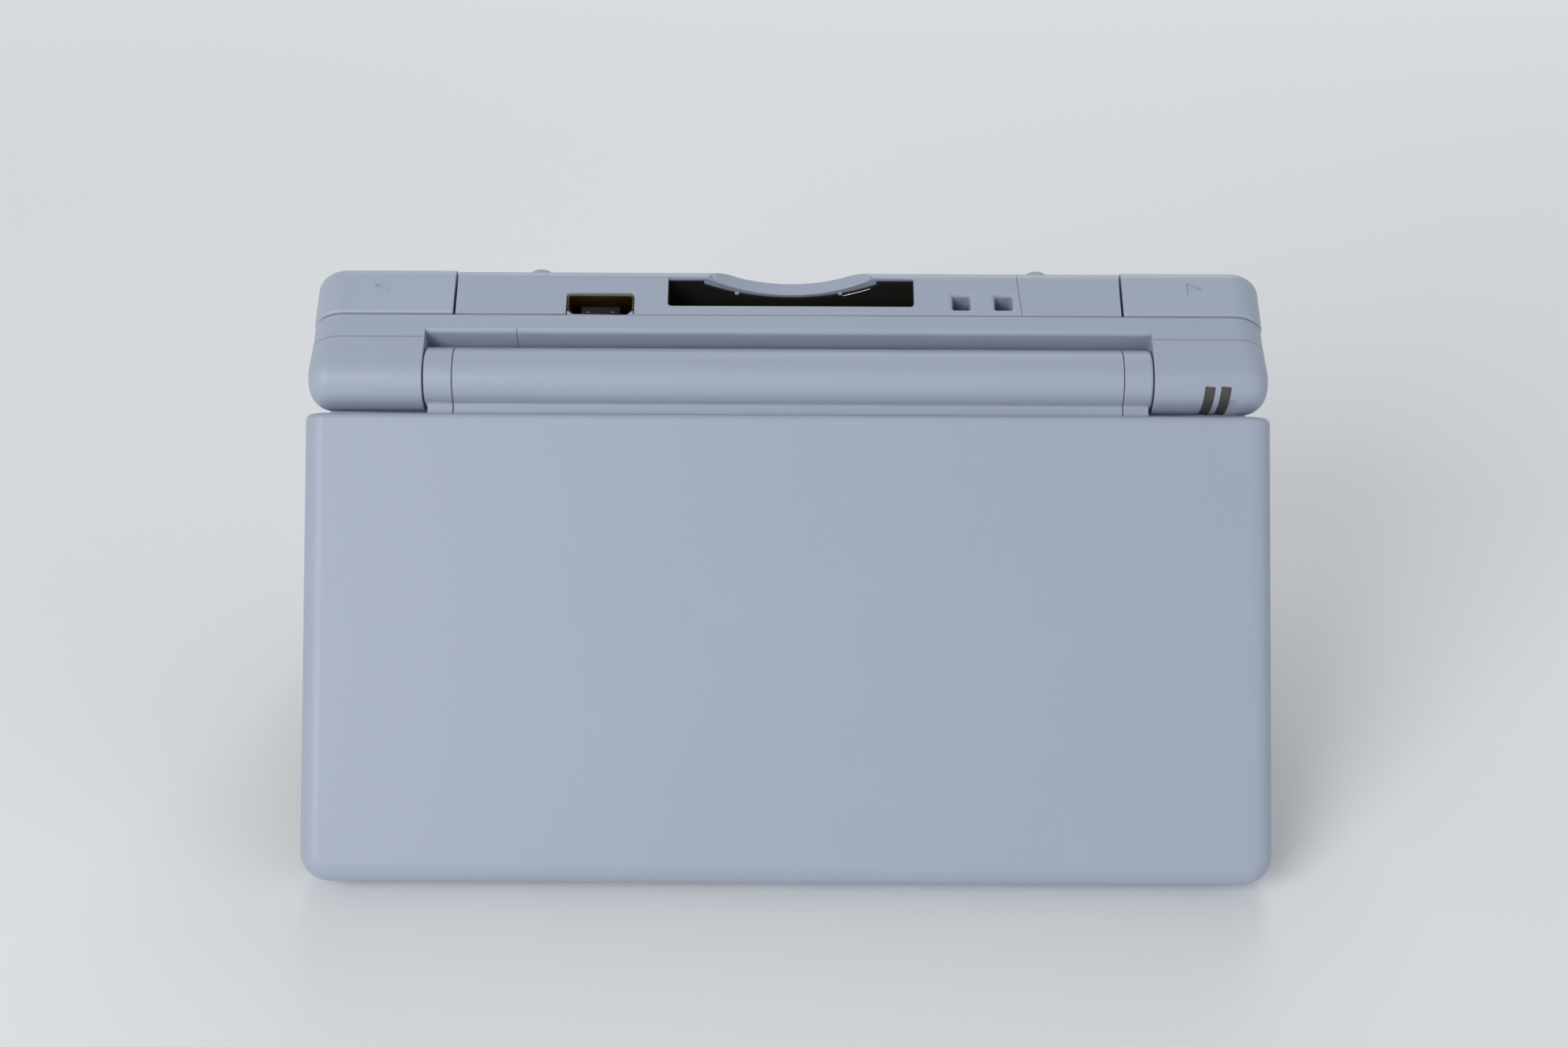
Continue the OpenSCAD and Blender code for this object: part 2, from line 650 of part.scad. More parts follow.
// Metal can over the processor, under the board.
module processor_shield() color(bright_metal) in_base()
    span([card_x + card_w / 2 + 3.4, -30, board_under - 2.4], [card_x + card_w / 2 + 16.4, -12, board_under]);

// Radio module under the board, on the right.
module radio_module() color([0.62, 0.63, 0.62]) in_base()
    span([half_w - 25.5, -31, board_under - 1.8], [half_w - 6.5, -17, board_under]);

// ---- Sockets and switches ----

// Card connector: a dark housing, open to the rear and hung under the board.
module card_slot() color(dark_plastic) in_base() difference() {
    union() {
        span([card_x - card_w / 2 - 1.2, rear_reach - wall - card_d, card_z - card_plate_t],
            [card_x + card_w / 2 + 1.2, rear_reach - wall - clear, board_under]);
        span([card_x - card_w / 2 + clear, 0, card_z - card_plate_t],
            [card_x + card_w / 2 - clear, rear_reach - card_rim - clear, card_z]);
    }
    translate([0, 0, card_z - 1]) linear_extrude(1 + clear) offset(delta = clear) card_rim_plan();
    span([card_x - card_w / 2, rear_reach - wall - card_d + 2, card_z],
        [card_x + card_w / 2, rear_reach, board_under - 0.6]);
}

// Cartridge connector behind the front slot.
module cartridge_slot() color(dark_plastic) in_base() difference() {
    span([-cart_w / 2 - 1.2, -reach + wall + clear, cart_z - 0.4],
        [cart_w / 2 + 1.2, -reach + cart_d + 2, cart_z + cart_h + 0.35]);
    span([-cart_w / 2, -reach - 1, cart_z], [cart_w / 2, -reach + cart_d, cart_z + cart_h]);
}

// Cross-section of the power connector with its two cut corners.
module power_profile(inset) {
    cut = power_cut - inset / 2;
    x = power_w / 2 - inset;
    polygon([[-x, inset], [x, inset], [x, power_h - cut], [x - cut, power_h - inset],
        [-x + cut, power_h - inset], [-x, power_h - cut]]);
}

// Plated ring of the power connector.
module power_connector_shell() color(gold) in_base()
    translate([-power_x, rear_reach - 0.35, seam_z - power_h]) rotate([90, 0, 0])
        difference() {
            linear_extrude(5) power_profile(0);
            translate([0, 0, -1]) linear_extrude(5.2) power_profile(power_wall);
        }

// Tongue of the power connector.
module power_connector_tongue() color(dark_plastic) in_base()
    translate([-power_x, rear_reach, tongue_z])
        span([-tongue_w / 2, -4.55, -tongue_t / 2], [tongue_w / 2, -1.2, tongue_t / 2]);

// Headphone socket with its bore.
module headphone_jack() color(dark_plastic) in_base() difference() {
    union() {
        span([jack_x - jack_side, -reach + wall + clear, floor_t + fit],
            [jack_x + jack_side, -reach + jack_d, jack_z + jack_side - 0.2]);
        translate([jack_x, -reach + 0.1, jack_z]) rotate([-90, 0, 0]) cylinder(r = jack_r + 0.8, h = 3);
    }
    translate([jack_x, -reach - 1, jack_z]) rotate([-90, 0, 0]) cylinder(r = jack_r, h = jack_d);
}

// Light guides in the two windows of the right knuckle.
module status_light_guides() color(smoke) in_base() translate([0, 0, hinge_z])
    for (x = light_places) translate([x, -knuckle_proud, 0])
        light_sector(clutch_r + knuckle_proud + 0.2, knuckle_r - 0.05, light_w, 43.5, 149.5);

// Two slide switches under the power and volume sliders.
module slide_switches() color(dark_plastic) in_base() {
    span([-volume_x - 4.6, -reach + 3.3, slider_z - 1.9], [-volume_x + 4.6, -reach + 6.6, board_under]);
    span([half_w - 6.6, power_y - 3.8, slider_z - 1.9], [half_w - 3.3, power_y + 4.6, board_under]);
}

// ---- Screen of the base ----

// Gasket between deck and touch glass.
module display_gasket() color(dark_plastic) in_base() translate([0, -lower_screen_y, touch_top])
    linear_extrude(gasket_t) difference() {
        square([glass_w, glass_h], center = true);
        square([screen_w + 0.8, screen_h + 0.8], center = true);
    }

// Touch glass.
module touch_screen() color(glass_tint) in_base() translate([0, -lower_screen_y, display_top])
    linear_extrude(touch_t) square([glass_w, glass_h], center = true);

// Display panel under the touch glass.
module lower_display() color([0.45, 0.46, 0.47]) in_base() translate([0, -lower_screen_y, display_under])
    linear_extrude(lower_display_t) square([glass_w - 0.4, glass_h - 0.4], center = true);

// ---- Controls of the deck ----

// Cross of the direction pad, grown by a gap.
module pad_cross(gap, h) {
    for (a = [0, 90]) rotate([0, 0, a])
        translate([-pad_span / 2 - gap, -pad_arm / 2 - gap, 0]) cube([pad_span + 2 * gap, pad_arm + 2 * gap, h]);
}

pad_flange_r = 10.6;
pad_flange_z = 9.75;
rocker_r = 0.75;
rocker_z = pad_flange_z - fit - rocker_r;
flange_t = 0.7;
flange_top = deck_under - 0.06;
button_under = flange_top - flange_t;
membrane_top = button_under - button_travel - 0.1;

// Direction pad, on its flange.
module direction_pad() color(control_grey) in_base() translate([-group_x, -group_y, 0]) difference() {
    union() {
        translate([0, 0, pad_flange_z]) pad_cross(0, deck_z + button_rise - pad_flange_z);
        translate([0, 0, pad_flange_z]) intersection() {
            cylinder(r = pad_flange_r, h = 0.55);
            translate([0, 0, 0.2]) cube([1.86 * pad_flange_r, 1.86 * pad_flange_r, 1], center = true);
        }
    }
    translate([0, 0, deck_z + button_rise + 2.6]) sphere(r = 3.2);
}

// Rocker under the middle of the pad.
module pad_rocker() color(soft_grey) in_base() translate([-group_x, -group_y, 0])
    translate([0, 0, rocker_z]) rotate_extrude() intersection() {
        circle(rocker_r);
        translate([0, board_top + membrane_t + fit - rocker_z]) square([rocker_r, 2 * rocker_r]);
    }

// Rubber sheet under the direction pad, with its four contact domes.
module pad_membrane() color(soft_grey) in_base() translate([-group_x, -group_y, board_top]) {
    linear_extrude(membrane_t) square(pad_span, center = true);
    for (a = [0:90:270]) rotate([0, 0, a]) translate([7, 0, 0]) cylinder(r = 1.8, h = membrane_t + 0.07);
}

// Button with its flange under the deck.
module round_button(r) {
    translate([0, 0, button_under]) cylinder(r = r + 0.8, h = flange_t);
    translate([0, 0, deck_z + button_rise]) mirror([0, 0, 1])
        rounded_disc(r, deck_z + button_rise - button_under, 0.35);
}

// One face button of the four.
module face_button(index) color(control_grey) in_base()
    translate([face_places()[index][0], face_places()[index][1], 0]) round_button(button_r);
module button_right() face_button(0);
module button_upper() face_button(1);
module button_lower() face_button(2);
module button_left() face_button(3);

// One menu button of the two.
module menu_button(index) color(control_grey) in_base()
    translate([menu_places()[index][0], menu_places()[index][1], 0]) round_button(menu_r);
module menu_button_upper() menu_button(0);
module menu_button_lower() menu_button(1);

// Rubber sheets under the buttons, with a dome for each.
module button_membrane() color(soft_grey) in_base() {
    translate([group_x, -group_y, board_top]) linear_extrude(membrane_t) square(22, center = true);
    translate([menu_x, -menu_y - menu_pitch / 2, board_top])
        linear_extrude(membrane_t) square([6, menu_pitch + 5], center = true);
    for (place = concat(face_places(), menu_places())) translate([place[0], place[1], board_top])
        cylinder(r = 1.6, h = membrane_top - board_top);
}

// ---- Shoulder buttons ----

// Shoulder button on the right: outer skin, bottom lip and pivot boss.
module shoulder_button() difference() {
    union() {
        difference() {
            shoulder_outline(shoulder_proud);
            intersection() {
                translate([0, 0, shoulder_wall])
                    tray_block(body_w - 2 * shoulder_wall, -reach, rear_reach - shoulder_wall, 20, corner_r - 1, 0.8);
                span([shoulder_x + shoulder_wall, -20, 0], [half_w + 3, 20, 20]);
            }
        }
        translate([pivot_x, pivot_y, 3.7]) cylinder(r = 1.9, h = seam_z - 0.2 - 3.7);
        span([pivot_x, pivot_y - 0.6, 3.7], [half_w - 0.8, pivot_y + 0.6, seam_z - 0.2]);
        span([shoulder_x + 5, pivot_y + 0.3, 4.6], [shoulder_x + 7, rear_reach - 0.8, 6.4]);
    }
    translate([pivot_x, pivot_y, 0.9]) cylinder(r = shoulder_pin_r + fit, h = seam_z);
    // Front edge, slanted so that it stays clear when pressed
    translate([pivot_x, rear_reach - shoulder_d, -1]) linear_extrude(seam_z + 2)
        polygon([[0, -1], [0, 0], [shoulder_x - 1 - pivot_x, (pivot_x - shoulder_x + 1) * tan(shoulder_turn) + fit],
            [shoulder_x - 1 - pivot_x, -1]]);
    // Plain triangle sunk into the rear face
    translate([shoulder_x + 10.2, rear_reach + shoulder_proud - 0.18, 3.7]) rotate([-90, 0, 0])
        linear_extrude(1) polygon([[-1.1, -1.1], [-1.1, 1.1], [1.1, 0]]);
}
module shoulder_button_right() color(button_white) in_base() shoulder_button();
module shoulder_button_left() color(button_white) in_base() mirror([1, 0, 0]) shoulder_button();

// Pins of the shoulder buttons, held in the upper shell.
module shoulder_pins() color(bright_metal) in_base() both_sides()
    translate([pivot_x, pivot_y, 1.1]) cylinder(r = shoulder_pin_r, h = seam_z + 1);

// Closed torsion springs round the pins, under the buttons' bosses.
module shoulder_springs() color(bright_metal) in_base() both_sides() {
    translate([pivot_x, pivot_y, 1.9]) rotate_extrude() translate([shoulder_pin_r + fit, 0]) square([0.6, 1.5]);
}

// Push switches that the shoulder buttons press, standing on the board's edge.
module shoulder_switches() color(dark_plastic) in_base() both_sides() {
    span([shoulder_x + 4.6, rear_reach - shoulder_d + 0.05 - shoulder_gap, 3.4],
        [shoulder_x + 7.4, pivot_y - 1.6, 6.9]);
}

// ---- Sliding pieces ----

// Power slider in the right wall, ribbed and sprung back.
module power_slider() color(control_grey) in_base() {
    translate([half_w, power_y, slider_z]) {
        span([-3, -2, -slider_half], [0.7, 2, slider_half]);
        span([-3.2, -3, -slider_foot_half], [-wall - clear, 3, slider_foot_half]);
    }
}

// Volume slider in the front wall.
module volume_slider() color(control_grey) in_base() {
    translate([-volume_x, -reach, slider_z]) {
        span([-1.7, -0.6, -slider_half], [1.7, 3, slider_half]);
        span([-2.7, wall + clear, -slider_foot_half], [2.7, 3.2, slider_foot_half]);
    }
}

// Sleeve that takes the stylus.
module stylus_sleeve() color(case_white) in_base() translate([0, -stylus_y, stylus_z]) difference() {
    along_x(half_w - stylus_l - 3, half_w - wall - clear, stylus_r + 0.25);
    along_x(half_w - stylus_l - 2, half_w + 1, stylus_r + fit);
}

// Stylus: barrel, tapered tip and flat cap with its catch for the nail.
module stylus() color([0.86, 0.87, 0.88]) in_base() translate([half_w, -stylus_y, stylus_z]) rotate([0, -90, 0])
    rotate_extrude() polygon([[0, -0.5], [stylus_r - 0.5, -0.5], [stylus_r, 0], [stylus_r, 4], [stylus_r - 0.25, 4.4],
        [stylus_r - 0.25, 5.2], [stylus_r, 5.6], [stylus_r, stylus_l - 9], [0.8, stylus_l - 1.8], [0.5, stylus_l - 0.9],
        [0, stylus_l - 0.6]]);

// Dust cover that fills the cartridge slot, with a thumb groove.
module slot_cover() color(case_white) in_base() difference() {
    span([-cart_w / 2 + 0.15, -reach, cart_z + 0.15], [cart_w / 2 - 0.15, -reach + cart_d - 1, cart_z + cart_h - 0.15]);
    span([-cart_w / 2 + 2, -reach + 2, cart_z + 1.6], [cart_w / 2 - 2, -reach + cart_d, cart_z + cart_h - 1.6]);
    translate([0, -reach - 0.6, cart_z + cart_h / 2]) cube([22, 2.6, 1.6], center = true);
}

// ---- Hinge ----

// Hollow pin of the left knuckle, fixed in the base.
module hinge_pin() color(bright_metal) in_base() translate([0, 0, hinge_z]) difference() {
    along_x(-half_w + 4.1, -recess_x + cap_l + 3, pin_r);
    along_x(-half_w + 3, -recess_x + cap_l + 4, pin_bore_r);
}

// Ribbon rolled up inside the hinge pin.
module hinge_ribbon() color(copper) in_base() translate([0, 0, hinge_z])
    along_x(-half_w + 4.2, -recess_x + cap_l + 2.9, pin_bore_r - 0.1);

// Friction clutch in the right knuckle.
module hinge_clutch() color(bright_metal) in_base() translate([0, 0, hinge_z]) difference() {
    along_x(recess_x + clear, half_w - 9.7, clutch_r);
    along_x(recess_x - 1, half_w - 11, shaft_r + fit);
}

// Shaft of the clutch with its keyed head in the barrel.
module clutch_shaft() color(bright_metal) in_lid() {
    along_x(recess_x - cap_l - 3, half_w - 11.2, shaft_r);
    along_x(recess_x - cap_l - 3.2, recess_x - cap_l - 0.25, channel_r - 0.04);
}

// Cap ring at one end of the barrel, with its share of the neck.
module hinge_cap(bore) difference() {
    union() {
        translate([recess_x - 0.15, 0, 0]) rotate([0, -90, 0]) rounded_disc(barrel_r, cap_l - 0.05, 0.45);
        span([recess_x - 0.1 - cap_l, -panel_start + 0.02, -neck_t], [recess_x - 0.6, -1.5, neck_t]);
    }
    along_x(recess_x - cap_l - 1, recess_x + 1, bore);
}
module hinge_cap_right() color(case_white) in_lid() hinge_cap(shaft_r + 0.02);
module hinge_cap_left() color(case_white) in_lid() mirror([1, 0, 0]) hinge_cap(pin_r + fit);

// Barrel with its neck and the ribbon channel, between the caps.
module barrel() {
    end = recess_x - 0.2 - cap_l;
    difference() {
        union() {
            along_x(-end, end, barrel_r);
            span([-end, -panel_start - lid_wall, -neck_t], [end, 0, neck_t]);
        }
        along_x(-end - 1, end + 1, channel_r);
    }
}

// ---- Lid shells ----

// Outer form of the lid panel, its outer edges rounded.
module panel_block() {
    low = -lid_drop;
    h = lid_rise - low;
    hull() {
        for (x = [-half_w + lid_corner_r, half_w - lid_corner_r]) translate([x, -reach + lid_corner_r, 0]) {
            translate([0, 0, lid_rise]) mirror([0, 0, 1]) rounded_disc(lid_corner_r, h / 2, lid_edge_r);
            translate([0, 0, low]) rounded_disc(lid_corner_r, h / 2, meet_r);
        }
        for (a = [0:30:90]) translate([0, -panel_start - panel_end_r * (1 - cos(a)), 0]) rotate([90, 0, 0])
            linear_extrude(0.01) panel_section(panel_end_r * (1 - sin(a)), low);
    }
}

// Section of the panel across its width, upper corners rounded.
module panel_section(inset, low) {
    x = half_w - inset - lid_edge_r;
    z = lid_rise - inset - lid_edge_r;
    for (side = [-1, 1]) translate([side * x, z]) circle(lid_edge_r);
    translate([-x, low]) square([2 * x, lid_rise - inset - low]);
    for (side = [-1, 1]) translate([side * (x + lid_edge_r - meet_r), low + meet_r]) circle(meet_r);
    translate([-x - lid_edge_r, low + meet_r]) square([2 * (x + lid_edge_r), z - low - meet_r]);
}

// Hollow of the lid between two levels, inside its walls.
module lid_hollow(z0, z1, side_wall) {
    hull() for (side = [-1, 1]) {
        translate([side * (half_w - side_wall - 2.6), -reach + side_wall + 2.6, z0])
            cylinder(r = 2.6, h = z1 - z0);
        translate([side * (half_w - side_wall - 0.5), -panel_start - lid_wall - 0.5, z0])
            cylinder(r = 0.5, h = z1 - z0);
    }
}

// Places of the lid's screws.
function lid_places() = [[half_w - 6.5, -reach + 6.5], [-half_w + 6.5, -reach + 6.5],
    [half_w - 6.5, -panel_start - 6], [-half_w + 6.5, -panel_start - 6]];

sink_z = -lid_drop + inner_sink;
inner_t = 1.2;
hollow_low = sink_z + inner_t;
hollow_top = lid_rise - lid_wall;

// Outer lid shell: the plain panel and the outer half of the barrel.
module lid_outer_shell() color(case_white) in_lid() difference() {
    union() {
        difference() {
            panel_block();
            lid_hollow(-lid_drop - 1, hollow_top, lid_wall);
            span([-half_w - 1, -reach - 1, -lid_drop - 1], [half_w + 1, 1, lid_seam]);
        }
        difference() {
            barrel();
            span([-half_w, -reach, -9], [half_w, 9, lid_seam]);
        }
        for (place = lid_places()) translate([place[0], place[1], lid_seam])
            cylinder(r = 2.4, h = hollow_top - lid_seam + 0.2);
    }
    for (place = lid_places()) translate([place[0], place[1], lid_seam - 1])
        cylinder(r = screw_r + fit / 2, h = hollow_top - lid_seam + 0.6);
}

// Inner lid shell: rim, sunken face with the screen window, and the inner half of the barrel.
module lid_inner_shell() color(case_white) in_lid() difference() {
    union() {
        difference() {
            panel_block();
            span([-half_w - 1, -reach - 1, lid_seam], [half_w + 1, 1, 9]);
            lid_hollow(hollow_low, 9, lid_rim);
            lid_hollow(-lid_drop - 1, sink_z, lid_rim);
        }
        difference() {
            barrel();
            span([-half_w, -reach, lid_seam], [half_w, 9, 9]);
            // Hole of the microphone
            translate([0, 0, -6]) cylinder(r = 0.6, h = 5);
        }
        for (place = lid_places()) translate([place[0], place[1], sink_z])
            cylinder(r = 3, h = lid_seam - sink_z);
    }
    for (place = lid_places()) translate([place[0], place[1], -lid_drop - 1]) {
        cylinder(r = screw_r + fit, h = 9);
        cylinder(r = bumper_r + 0.03, h = 1 + inner_sink + 1.15);
    }
    translate([0, -upper_screen_y, 0]) {
        cube([screen_w + 0.6, screen_h + 0.6, 12], center = true);
        span([-glass_w / 2 - clear, -glass_h / 2 - clear, -lid_drop - 1],
            [glass_w / 2 + clear, glass_h / 2 + clear, sink_z + window_t]);
    }
    // Speaker grilles: a hole in the middle of a ring of six
    both_sides() translate([speaker_x, -upper_screen_y, -lid_drop - 1]) {
        cylinder(r = grille_r, h = 6);
        for (a = [0:60:300]) rotate([0, 0, a]) translate([3.2, 0, 0]) cylinder(r = grille_r, h = 6);
    }
}
bumper_r = 2.2;
grille_r = 0.8;
speaker_x = half_w - 17;
speaker_r = 7.5;

// ---- Fittings of the lid ----

// Window plate over the upper screen.
module display_window() color(glass_tint) in_lid() translate([0, -upper_screen_y, sink_z])
    linear_extrude(window_t) square([glass_w, glass_h], center = true);

// Upper display panel.
module upper_display() color([0.45, 0.46, 0.47]) in_lid() translate([0, -upper_screen_y, hollow_low])
    linear_extrude(upper_display_t) square([glass_w + 3, glass_h + 2], center = true);

// Speaker: frame ring with its magnet.
module speaker() {
    translate([speaker_x, -upper_screen_y, hollow_low]) {
        cylinder(r = speaker_r, h = 1.6);
        cylinder(r = 4.4, h = 3.1);
    }
}
module speaker_right() color(dark_plastic) in_lid() speaker();
module speaker_left() color(dark_plastic) in_lid() mirror([1, 0, 0]) speaker();

// Rubber bumpers over the lid's screws.
module lid_bumpers() color(soft_grey) in_lid() for (place = lid_places())
    translate([place[0], place[1], -lid_drop - 0.12]) rounded_disc(bumper_r, inner_sink + 0.3, 0.25);

// Screws of the lid, under the bumpers.
module lid_screws() color(bright_metal) in_lid() for (place = lid_places())
    translate([place[0], place[1], sink_z + 0.2]) cross_screw(0.9, 5.2);

// Microphone capsule in the middle of the barrel.
module microphone() color(bright_metal) in_lid() along_x(-2.5, 2.5, channel_r - 0.04);

// Antenna strip along the lid's right side.
module antenna_strip() color(copper) in_lid()
    span([half_w - lid_rim - 2.3, -upper_screen_y - 16, hollow_low],
        [half_w - lid_rim - 0.1, -upper_screen_y + 16, hollow_low + 0.5]);

// Ribbon from the hinge to the upper display.
module lid_ribbon() color(copper) in_lid()
    translate([0, 0, hollow_low + upper_display_t + clear])
        span([-14, -upper_screen_y + 10, 0], [-2, -panel_start - lid_wall - 0.15, 0.3]);

lower_shell();
upper_shell();
battery_cover();
battery_cover_screw();
battery_pack();
case_screws();
rubber_feet();
main_board();
processor_shield();
radio_module();
card_slot();
cartridge_slot();
power_connector_shell();
power_connector_tongue();
headphone_jack();
status_light_guides();
touch_screen();
display_gasket();
lower_display();
pad_membrane();
button_membrane();
shoulder_pins();
shoulder_springs();
shoulder_switches();
slide_switches();
stylus_sleeve();
hinge_pin();
hinge_clutch();
hinge_ribbon();
lid_outer_shell();
lid_inner_shell();
hinge_cap_left();
hinge_cap_right();
clutch_shaft();
upper_display();
display_window();
speaker_left();
speaker_right();
lid_bumpers();
lid_screws();
microphone();
antenna_strip();
lid_ribbon();
shoulder_button_left();
shoulder_button_right();
pad_rocker();
direction_pad();
button_right();
button_upper();
button_lower();
button_left();
menu_button_upper();
menu_button_lower();
power_slider();
volume_slider();
stylus();
slot_cover();
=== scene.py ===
"""Looks of a clamshell handheld game console that stands like a tent on its lid and base.

Metres, +Z up, the viewer at -Y. The sections follow the console as it is put together.
"""

import json
import math

import bmesh
import bpy
import numpy as np
from mathutils import Matrix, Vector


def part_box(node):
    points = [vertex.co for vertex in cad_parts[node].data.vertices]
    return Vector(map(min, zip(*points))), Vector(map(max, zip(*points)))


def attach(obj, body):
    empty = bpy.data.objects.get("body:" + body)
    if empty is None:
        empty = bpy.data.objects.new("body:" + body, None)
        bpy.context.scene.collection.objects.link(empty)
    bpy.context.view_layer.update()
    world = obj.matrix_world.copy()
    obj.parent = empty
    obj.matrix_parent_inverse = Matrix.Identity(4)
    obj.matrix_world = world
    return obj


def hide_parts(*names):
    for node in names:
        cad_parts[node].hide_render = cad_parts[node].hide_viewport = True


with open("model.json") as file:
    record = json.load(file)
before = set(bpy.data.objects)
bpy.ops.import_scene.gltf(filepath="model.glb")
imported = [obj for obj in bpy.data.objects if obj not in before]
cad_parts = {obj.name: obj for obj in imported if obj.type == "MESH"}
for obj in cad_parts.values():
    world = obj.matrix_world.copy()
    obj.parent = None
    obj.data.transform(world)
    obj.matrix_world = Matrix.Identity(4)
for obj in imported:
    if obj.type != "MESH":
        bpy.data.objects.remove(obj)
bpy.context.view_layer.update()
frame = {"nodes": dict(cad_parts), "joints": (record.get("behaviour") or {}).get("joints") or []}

# ---- Frames of base and lid ----
# The hinge axis is where base and lid meet, HINGE_Z millimetres above the underside. On the base,
# millimetres count from it across and rearwards and from the underside upwards, as the base lies
# flat. The lid's rearward direction is that of the closed console, turned open with the lid.
MM = 0.001
HINGE_Z = 16.45
joints = {joint["name"]: joint for joint in frame["joints"]}
hinge_at = np.array(joints["lid_hinge"]["pos_m"])
across = np.array([1.0, 0.0, 0.0])
base_rear = np.array(joints["power_slide"]["axis"])
base_up = -np.array(joints["button_upper_press"]["axis"])
opened = math.radians(-joints["lid_hinge"]["range_deg"][0])
lid_rear = math.cos(opened) * base_rear - math.sin(opened) * base_up

# ---- Camera ----
# The camera looks down at about 31 degrees, a third of a metre away, so that the lid's outer
# face is seen almost square on. The hinge axis lies at its measured place in the picture, and the
# photographer held the camera a quarter of a degree askew.
PHOTO_W, PHOTO_H = 2000, 1335
SENSOR_W = 36.0
FOCAL_PX = 3100.0
HINGE_PX = (1004.4, 484.0)
HINGE_DEPTH = 0.338
ROLL = math.radians(0.26)
LOOK_DOWN = math.radians(30.7)

scene = bpy.context.scene
camera_data = bpy.data.cameras.new("camera")
camera_data.sensor_width = SENSOR_W
camera_data.lens = FOCAL_PX / PHOTO_W * SENSOR_W
camera_data.clip_start = 0.01
camera = bpy.data.objects.new("camera", camera_data)
scene.collection.objects.link(camera)
view_dir = np.array([0.0, math.cos(LOOK_DOWN), -math.sin(LOOK_DOWN)])
view_up = np.array([0.0, math.sin(LOOK_DOWN), math.cos(LOOK_DOWN)])
off_right = (HINGE_PX[0] - PHOTO_W / 2) / FOCAL_PX * HINGE_DEPTH
off_up = (PHOTO_H / 2 - HINGE_PX[1]) / FOCAL_PX * HINGE_DEPTH
camera.location = hinge_at - HINGE_DEPTH * view_dir - off_up * view_up - off_right * across
tilt = Matrix.Rotation(math.pi / 2 - LOOK_DOWN, 3, "X")
camera.rotation_euler = (tilt @ Matrix.Rotation(ROLL, 3, "Z")).to_euler()
scene.camera = camera

# ---- Studio ----
# A pale floor under a white background. A soft lamp at the front left gives most of the light, a
# weaker one stands at the right and one behind; a colour renders about as it is written.
SKY_LIGHT = 0.36
SKY_WHITE = 0.86
FLOOR_HALF = 3.0
FLOOR_FADE = (0.22, 0.85)
LAMP_AIM = np.array([0.0, 0.0, 0.03])
scene.view_settings.view_transform = "Standard"


def feed(tree, socket, value):
    """Gives an input socket a number, or links another node's output to it."""
    if isinstance(value, (int, float)):
        socket.default_value = value
    else:
        tree.links.new(value, socket)


def math_node(tree, operation, *values):
    """One math node on numbers or sockets; returns its output."""
    node = tree.nodes.new("ShaderNodeMath")
    node.operation = operation
    for socket, value in zip(node.inputs, values):
        feed(tree, socket, value)
    return node.outputs[0]


def mix_surfaces(tree, factor, first, second, output):
    """Sends a mix of two shaders to an output node: the first at nought, the second at one."""
    mix = tree.nodes.new("ShaderNodeMixShader")
    for socket, value in zip(mix.inputs, (factor, first, second)):
        tree.links.new(value, socket)
    tree.links.new(mix.outputs[0], output.inputs["Surface"])


def plain_material(name, colour, roughness):
    """New node material with one Principled shader; returns the material and the shader."""
    material = bpy.data.materials.new(name)
    material.use_nodes = True
    shader = material.node_tree.nodes["Principled BSDF"]
    shader.inputs["Base Color"].default_value = (*colour, 1.0)
    shader.inputs["Roughness"].default_value = roughness
    return material, shader


# Camera, mirror and transmission rays see plain white; all others see the sky that gives light.
world = bpy.data.worlds.new("studio")
scene.world = world
world.use_nodes = True
sky_tree = world.node_tree
sky = sky_tree.nodes["Background"]
sky.inputs["Color"].default_value = (0.93, 0.96, 1.0, 1.0)
sky.inputs["Strength"].default_value = SKY_LIGHT
white = sky_tree.nodes.new("ShaderNodeBackground")
white.inputs["Color"].default_value = (SKY_WHITE, SKY_WHITE, SKY_WHITE, 1.0)
rays = sky_tree.nodes.new("ShaderNodeLightPath").outputs
seen = math_node(sky_tree, "MAXIMUM", rays["Is Camera Ray"], rays["Is Glossy Ray"])
seen = math_node(sky_tree, "MAXIMUM", seen, rays["Is Transmission Ray"])
mix_surfaces(sky_tree, seen, sky.outputs[0], white.outputs[0], sky_tree.nodes["World Output"])

# The floor fades out with the distance from the console, so that its rim is never seen.
floor_mesh = bpy.data.meshes.new("floor")
floor_mesh.from_pydata([(-FLOOR_HALF, -FLOOR_HALF, 0), (FLOOR_HALF, -FLOOR_HALF, 0),
                        (FLOOR_HALF, FLOOR_HALF, 0), (-FLOOR_HALF, FLOOR_HALF, 0)], [], [(0, 1, 2, 3)])
floor = bpy.data.objects.new("floor", floor_mesh)
scene.collection.objects.link(floor)
floor_material, floor_shader = plain_material("pale_floor", (0.90, 0.91, 0.92), 0.6)
floor_tree = floor_material.node_tree
floor_far = floor_tree.nodes.new("ShaderNodeVectorMath")
floor_far.operation = "LENGTH"
floor_coords = floor_tree.nodes.new("ShaderNodeTexCoord")
floor_tree.links.new(floor_coords.outputs["Object"], floor_far.inputs[0])
floor_fade = floor_tree.nodes.new("ShaderNodeMapRange")
floor_fade.interpolation_type = "SMOOTHSTEP"
floor_fade.inputs["From Min"].default_value, floor_fade.inputs["From Max"].default_value = FLOOR_FADE
floor_tree.links.new(floor_far.outputs["Value"], floor_fade.inputs["Value"])
nothing = floor_tree.nodes.new("ShaderNodeBsdfTransparent")
mix_surfaces(floor_tree, floor_fade.outputs["Result"], floor_shader.outputs[0], nothing.outputs[0],
             floor_tree.nodes["Material Output"])
floor_mesh.materials.append(floor_material)


